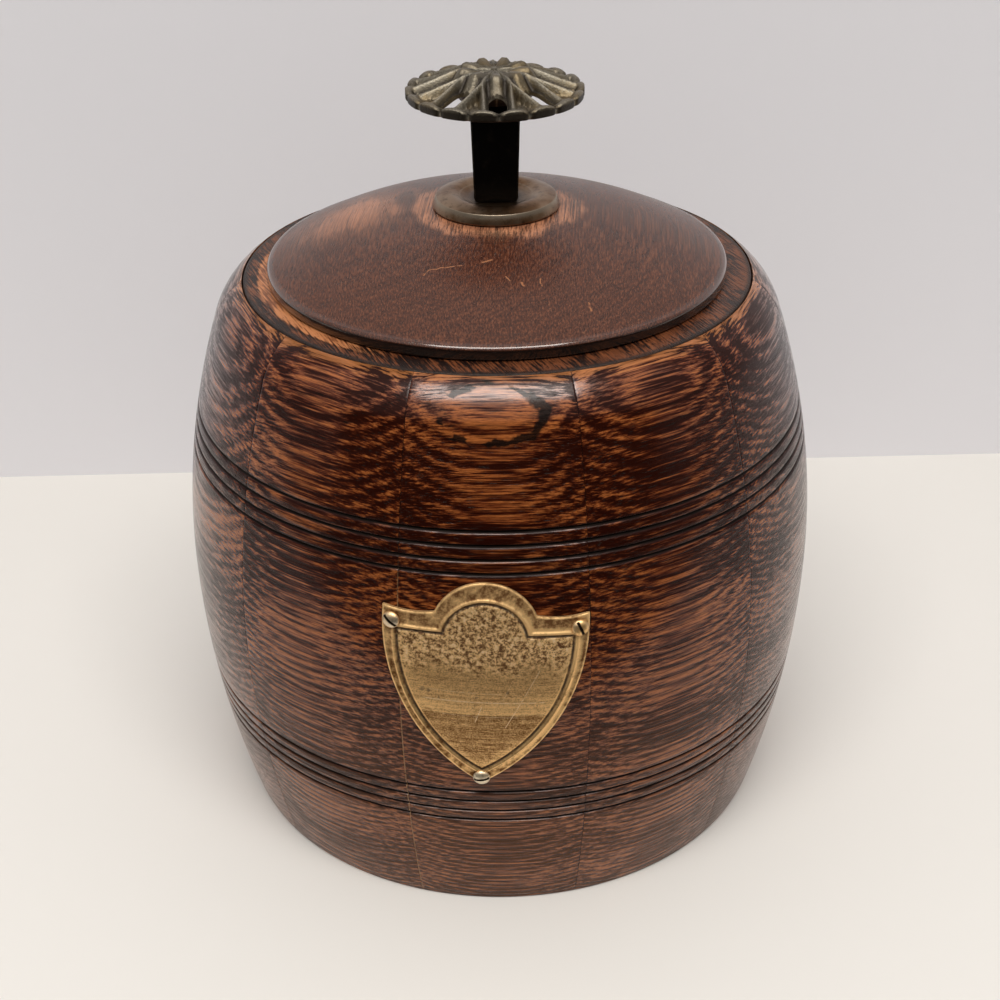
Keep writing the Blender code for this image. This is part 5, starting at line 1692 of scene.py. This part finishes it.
class BARREL_OT_knob_rosette(bpy.types.Operator):
    """Build the pierced, cast rosette on top of the knob"""

    bl_idname = "barrel.knob_rosette"
    bl_label = "Knob Rosette"

    def execute(self, context):
        sizes, colours = context.scene.knob_sizes, context.scene.fitting_colours
        top, under = self.sections(sizes)
        inner = sizes.rosette_radius - sizes.rosette_rim_width
        marks = []

        def cast(index, radius, height, angle):
            """Give the cast surface at a point of the plain section."""
            cleft = abs(math.cos(sizes.rosette_petals * (angle - sizes.rosette_turn))) ** 24
            notch = sizes.rosette_notch * cleft * max(0.0, radius - inner) / sizes.rosette_rim_width
            if index < len(top):
                height, rub, hollow = self.casting(sizes, radius, angle)
            else:
                rub, hollow = 0.9 * cleft ** 2, 0.85 - 0.6 * cleft
            marks.append((rub, hollow))
            return radius - notch, height

        verts, faces = lathe(top + under, ROSETTE_STEPS, cast)
        mesh = add_mesh("cast_rosette", verts, faces)
        carry(mesh, "rub", [rub for rub, _ in marks])
        carry(mesh, "hollow", [hollow for _, hollow in marks])
        mesh = cut_away(mesh, add_mesh("piercings", *self.piercings(sizes)), sharp=70.0)
        material = rubbed_metal(
            "Rosette brass", colours.rosette, colours.rosette_warm, colours.rosette_dark,
            colours.rosette_rub, rough=0.34, depth=0.00016, blotch=0.7,
        )
        add_piece("cast_rosette", mesh, material, "lid", "aged_brass", "knob_rosette")
        return {"FINISHED"}

    def sections(self, sizes):
        """Give the radii of the rosette's cast top, and the plain section of its hollow underside."""
        foot, outer, hub = sizes.rosette_foot, sizes.rosette_radius, sizes.hub_radius
        inner = outer - sizes.rosette_rim_width
        top = [(hub * n / HUB_STEPS, foot) for n in range(HUB_STEPS)]
        top += [(hub + (inner - hub) * n / RIB_STEPS, foot) for n in range(RIB_STEPS + 1)]
        top += [(inner + (outer - inner) * share, foot) for share in RIM_SHARES]
        under = [(outer, foot + share * sizes.rosette_rim) for share in (0.6, 0.4, 0.2)]
        under += [(outer - 0.15 * MM, foot + 0.15 * MM), (outer - 0.5 * MM, foot), (inner, foot)]
        boss = sizes.post_top_width / math.sqrt(2.0) + 0.3 * MM
        for share in UNDER_SHARES:
            radius = boss + (inner - boss) * share
            across = max(0.0, 1.0 - (radius - hub) / (inner - hub))
            under.append((radius, foot + 0.3 * MM + sizes.rosette_hollow * across ** 1.6))
        return top, under + [(boss, foot), (0.0, foot)]

    def casting(self, sizes, radius, angle):
        """Give the level of the cast surface, and how rubbed and how hollow it is.

        Each rib is a rounded finger that runs down from the hub to its opening, with a groove and then a
        soft ridge on both sides of it. Between the ridges a cupped petal falls away and rises to the rim.
        """
        turned = angle - sizes.rosette_turn
        sector = 2.0 * math.pi / sizes.rosette_petals
        swing = (turned + 0.5 * sector) % sector - 0.5 * sector
        aside, along = radius * abs(math.sin(swing)), radius * math.cos(swing)
        hub, outer, peak = sizes.hub_radius, sizes.rosette_radius, sizes.rosette_top
        inner, base = outer - sizes.rosette_rim_width, sizes.rosette_foot + sizes.rosette_rim
        arch = sizes.piercing_end - sizes.piercing_length
        run = min(1.0, max(0.0, (along - hub) / (inner - hub)))
        lobe = abs(math.sin(sizes.rosette_petals * turned)) ** 0.5
        drop = peak - base - sizes.finger_foot
        finger = peak - drop * soft(along, hub + 0.1 * MM, arch + 0.5 * MM)
        finger -= sizes.hub_sink * (1.0 - soft(along, 0.5 * hub, 0.86 * hub))
        finger -= (sizes.finger_foot + sizes.cup_depth) * soft(along, arch + MM, sizes.piercing_end - MM)
        depth = sizes.groove_depth * (1.0 - 0.6 * soft(along, hub + MM, arch))
        groove = soft(aside, 0.25 * sizes.groove_out, sizes.groove_out)
        inside = finger - depth * groove
        apart = min(sizes.ridge_out, radius * math.sin(0.5 * sector))
        ridge = base + (peak - sizes.ridge_drop - base) * (1.0 - run) ** 1.1
        edge = min(sizes.groove_out, 0.8 * apart)
        if aside < apart:
            level = inside + max(0.0, ridge - inside) * soft(aside, edge, apart)
        else:
            fall = min(1.0, max(0.0, (radius - hub) / (sizes.cup_radius - hub)))
            petal = base - sizes.cup_depth + (peak - sizes.ridge_drop - base) * (1.0 - fall) ** 2.0
            petal = min(petal, ridge)
            level = ridge + (petal - ridge) * soft(aside, apart, apart + sizes.ridge_width)
        aslant = radius * math.sin(0.5 * sector - abs(swing))
        petals = soft(aside, apart, apart + sizes.ridge_width) * soft(radius, hub, hub + 3.0 * MM)
        lines = math.cos(2.0 * math.pi * (aslant + 0.35 * radius) / sizes.fold_pitch)
        bows = math.sin(2.0 * math.pi * (radius + 0.6 * aslant * aslant / hub) / (0.8 * sizes.fold_pitch))
        fold = petals * (0.7 * lines + 0.3 * bows * soft(radius, hub + 4.0 * MM, hub + 7.0 * MM))
        level += sizes.fold_depth * fold
        lumps = math.cos(sizes.rosette_petals * turned) * math.sin(2.0 * math.pi * radius / (0.5 * hub))
        on_hub = soft(radius, 0.1 * hub, 0.3 * hub) * (1.0 - soft(radius, 0.7 * hub, hub))
        level += sizes.fold_depth * lumps * on_hub
        lip = soft(radius, inner - 0.9 * MM, inner + 0.4 * MM)
        rim = base + 0.2 * MM - sizes.rosette_lobe * (1.0 - lobe)
        rim -= 0.3 * MM * soft(radius, outer - 0.4 * MM, outer)
        level += (rim - level) * lip
        crest = math.exp(-((aside - apart) / (0.6 * sizes.ridge_width)) ** 2) * (1.0 - lip)
        back = (1.0 - groove) * (1.0 - soft(along, arch, arch + MM)) * soft(radius, 0.3 * hub, 0.9 * hub)
        rub = max(0.7 * crest, 0.35 * back, 0.55 * lip * lobe, 0.25 * fold)
        trough = math.exp(-((aside - sizes.groove_out) / (0.35 * sizes.groove_out)) ** 2)
        trough *= soft(radius, 0.6 * hub, hub)
        middle = 0.4 * (1.0 - soft(radius, 0.4 * hub, 0.9 * hub))
        hollow = max(trough * (1.0 - lip), 0.8 * lip * (1.0 - lobe), middle)
        return min(level, peak), rub, max(hollow, -0.7 * fold)

    def piercings(self, sizes):
        """Make the arched openings between the fingers and the rim."""
        outer, half, deep = sizes.piercing_end, 0.5 * sizes.piercing_width, sizes.piercing_length
        bow = arc((0.0, 0.0), 1.0, 180.0, 0.0, 14)
        outline = [(-0.75 * half, outer), (-half, outer - 0.25 * half)]
        outline += [(x * half, outer - 0.65 * deep - y * 0.35 * deep) for x, y in bow]
        outline += [(half, outer - 0.25 * half), (0.75 * half, outer)]
        verts, faces = [], []
        for petal in range(sizes.rosette_petals):
            angle = sizes.rosette_turn + 2.0 * math.pi * petal / sizes.rosette_petals
            c, s = math.cos(angle), math.sin(angle)
            turned = [(x * c + y * s, x * s - y * c) for x, y in outline]
            some, more = prism(turned, sizes.rosette_foot - 2.0 * MM, sizes.rosette_top + 2.0 * MM)
            faces += [[k + len(verts) for k in face] for face in more]
            verts += some
        return verts, faces


class BARREL_OT_knob_fixing(bpy.types.Operator):
    """Build the screw and the washer that hold the knob from below"""

    bl_idname = "barrel.knob_fixing"
    bl_label = "Knob Fixing"

    def execute(self, context):
        sizes = context.scene.knob_sizes
        material = fixing_steel(context.scene.fitting_colours)
        low, high = foot_and_top("knob_washer")
        inner, outer = reach("knob_washer")
        r = 0.25 * MM
        profile = arc((outer - r, high - r), r, 90.0, 0.0, 3) + arc((outer - r, low + r), r, 0.0, -90.0, 3)
        profile += arc((inner + r, low + r), r, -90.0, -180.0, 3)
        profile += arc((inner + r, high - r), r, 180.0, 90.0, 3)
        mesh = add_mesh("steel_washer", *lathe(profile, WASHER_STEPS))
        add_piece("steel_washer", mesh, material, "lid", "steel_fixing", "knob_washer")
        head_bottom, tip = foot_and_top("knob_screw")
        head_top = low - context.scene.barrel_sizes.fit
        head, shank = sizes.screw_head_radius, sizes.screw_radius
        bevel = 0.4 * MM
        profile = [(0.0, tip), (shank - bevel, tip), (shank, tip - bevel)]
        profile += [(shank, head_top), (head, head_top)]
        profile += [(head * math.cos(a), head_top - (head_top - head_bottom) * (0.3 + 0.7 * math.sin(a)))
                    for a in np.radians(np.arange(0.0, 90.0, 10.0))]
        profile += [(0.0, head_bottom)]
        mesh = add_mesh("head", *lathe(profile, SCREW_STEPS))
        deep = head_bottom + sizes.screw_slot
        slot = slot_cutter(2.0 * head, sizes.screw_slot, head_bottom - MM, deep)
        add_piece("steel_knob_screw", cut_away(mesh, slot), material, "lid", "steel_fixing", "knob_screw")
        return {"FINISHED"}


# Stage

FLOOR_HALF = 3.0
WALL_HEIGHT = 2.0
ROOM_HALF = 1.5
SENSOR_WIDTH = 36.0


class BARREL_OT_stage(bpy.types.Operator):
    """Set out the floor, the backdrop, the light and the camera"""

    bl_idname = "barrel.stage"
    bl_label = "Stage"

    def execute(self, context):
        stage = context.scene.stage_settings
        self.lay_floor(stage)
        self.hang_backdrop(stage)
        self.darken_room(stage)
        self.light(context, stage)
        self.aim_camera(context, stage)
        context.scene.view_settings.view_transform = "Standard"
        return {"FINISHED"}

    def lay_floor(self, stage):
        """Lay a plain pale floor."""
        material, wires, shader = new_finish("Pale floor")
        cloud = wires.noise(wires.place(), 0.004, 3.0, 0.6)
        darker = [0.97 * part for part in stage.floor]
        wires.dress(shader, Base_Color=wires.mix(cloud, stage.floor, darker), Roughness=0.6)
        wires.dress(shader, Specular_IOR_Level=0.2)
        h = FLOOR_HALF
        self.add_sheet("floor", [(-h, -h, 0.0), (h, -h, 0.0), (h, h, 0.0), (-h, h, 0.0)], material)

    def hang_backdrop(self, stage):
        """Stand a pale backdrop behind the barrel that only shows from its front."""
        material, wires, shader = new_finish("Pale backdrop")
        wires.dress(shader, Base_Color=shade(stage.wall), Roughness=0.8, Specular_IOR_Level=0.1)
        clear = wires.add("ShaderNodeBsdfTransparent", {}).outputs[0]
        behind = wires.add("ShaderNodeNewGeometry", {}).outputs["Backfacing"]
        either = wires.add("ShaderNodeMixShader", {0: behind, 1: shader.outputs[0], 2: clear}).outputs[0]
        wires.feed(material.node_tree.nodes["Material Output"].inputs["Surface"], either)
        h, top = FLOOR_HALF, WALL_HEIGHT
        corners = [(-h, 0.0, 0.0), (h, 0.0, 0.0), (h, 0.0, top), (-h, 0.0, top)]
        wall = self.add_sheet("backdrop", corners, material)
        wall.location = (0.0, stage.wall_distance, 0.0)
        wall.rotation_euler = (0.0, 0.0, stage.wall_turn)

    def darken_room(self, stage):
        """Put near-black sheets in front, past the camera's view, as painted shade for the dark room
        beyond the table's edge.
        """
        material, wires, shader = new_finish("Dark room")
        wires.dress(shader, Base_Color=(0.012, 0.011, 0.010, 1.0), Roughness=1.0)
        near, far, low, high = -stage.table_edge, -stage.room_depth, 2.0 * MM, stage.room_height
        h = ROOM_HALF
        ground = [(-h, far, low), (h, far, low), (h, near, low), (-h, near, low)]
        upright = [(-h, far, low), (h, far, low), (h, far, high), (-h, far, high)]
        for name, corners in (("dark_ground", ground), ("dark_upright", upright)):
            sheet = self.add_sheet(name, corners, material)
            sheet.visible_camera = False
            sheet.visible_transmission = False
            sheet.visible_volume_scatter = False
            sheet.visible_shadow = False

    def add_sheet(self, name, corners, material):
        """Add one flat sheet of the stage."""
        mesh = bpy.data.meshes.new(name)
        mesh.from_pydata(corners, [], [(0, 1, 2, 3)])
        mesh.materials.append(material)
        sheet = bpy.data.objects.new(name, mesh)
        bpy.context.scene.collection.objects.link(sheet)
        return sheet

    def light(self, context, stage):
        """Light the barrel softly from above, with one broad lamp above the camera."""
        lamp = bpy.data.lights.new("soft_lamp", "AREA")
        lamp.energy = stage.lamp_power
        lamp.shape = "RECTANGLE"
        lamp.size = stage.lamp_width
        lamp.size_y = stage.lamp_depth
        lamp.color = (1.0, 0.98, 0.95)
        holder = bpy.data.objects.new("soft_lamp", lamp)
        e = stage.lamp_height
        away = Vector((0.0, -math.cos(e), math.sin(e))) * stage.lamp_reach
        holder.location = away + Vector((0.0, 0.0, 0.5 * CAD_BOX[1].z))
        holder.rotation_euler = away.to_track_quat("Z", "Y").to_euler()
        context.scene.collection.objects.link(holder)
        world = bpy.data.worlds.new("soft_sky")
        world.use_nodes = True
        context.scene.world = world
        wires = Wiring(world.node_tree)
        up = wires.split(wires.add("ShaderNodeTexCoord", {}).outputs["Generated"])[2]
        background = world.node_tree.nodes["Background"]
        background.inputs["Color"].default_value = (1.0, 1.0, 1.0, 1.0)
        wires.feed(background.inputs["Strength"], wires.step(up, 0.0, 0.9, stage.horizon, stage.sky))

    def aim_camera(self, context, stage):
        """Put the camera where the photograph was taken from."""
        camera = bpy.data.cameras.new("camera")
        camera.lens = stage.camera_lens
        camera.sensor_width = SENSOR_WIDTH
        camera.clip_start = 0.01
        holder = bpy.data.objects.new("camera", camera)
        place = Matrix.Translation((0.0, -stage.camera_back, stage.camera_height))
        pitch = Matrix.Rotation(0.5 * math.pi - stage.camera_pitch, 4, "X")
        holder.matrix_world = place @ pitch @ Matrix.Rotation(stage.camera_roll, 4, "Z")
        context.scene.collection.objects.link(holder)
        context.scene.camera = holder


# Add-on


OPERATORS = (
    BARREL_OT_staves,
    BARREL_OT_mouth_ring,
    BARREL_OT_base_board,
    BARREL_OT_liner,
    BARREL_OT_shield,
    BARREL_OT_shield_screws,
    BARREL_OT_lid,
    BARREL_OT_knob_backplate,
    BARREL_OT_knob_post,
    BARREL_OT_knob_rosette,
    BARREL_OT_knob_fixing,
    BARREL_OT_stage,
)
SETTINGS = {
    "barrel_sizes": BarrelSizes,
    "liner_sizes": LinerSizes,
    "lid_sizes": LidSizes,
    "knob_sizes": KnobSizes,
    "shield_sizes": ShieldSizes,
    "oak_colours": OakColours,
    "fitting_colours": FittingColours,
    "stage_settings": StageSettings,
}


class BARREL_PT_panel(bpy.types.Panel):
    """Buttons that build the barrel piece by piece"""

    bl_idname = "BARREL_PT_panel"
    bl_label = "Biscuit Barrel"
    bl_space_type = "VIEW_3D"
    bl_region_type = "UI"
    bl_category = "Barrel"

    def draw(self, context):
        for operator in OPERATORS:
            self.layout.operator(operator.bl_idname)


CLASSES = (*SETTINGS.values(), *OPERATORS, BARREL_PT_panel)


def register():
    """Register the classes and hang the settings on the scene."""
    for item in CLASSES:
        bpy.utils.register_class(item)
    for name, kind in SETTINGS.items():
        setattr(bpy.types.Scene, name, bpy.props.PointerProperty(type=kind))


def unregister():
    """Take everything back."""
    for name in SETTINGS:
        delattr(bpy.types.Scene, name)
    for item in reversed(CLASSES):
        bpy.utils.unregister_class(item)


def main():
    """Build every piece and the stage."""
    register()
    for operator in OPERATORS:
        group, name = operator.bl_idname.split(".")
        getattr(getattr(bpy.ops, group), name)()


if __name__ == "__main__":
    main()
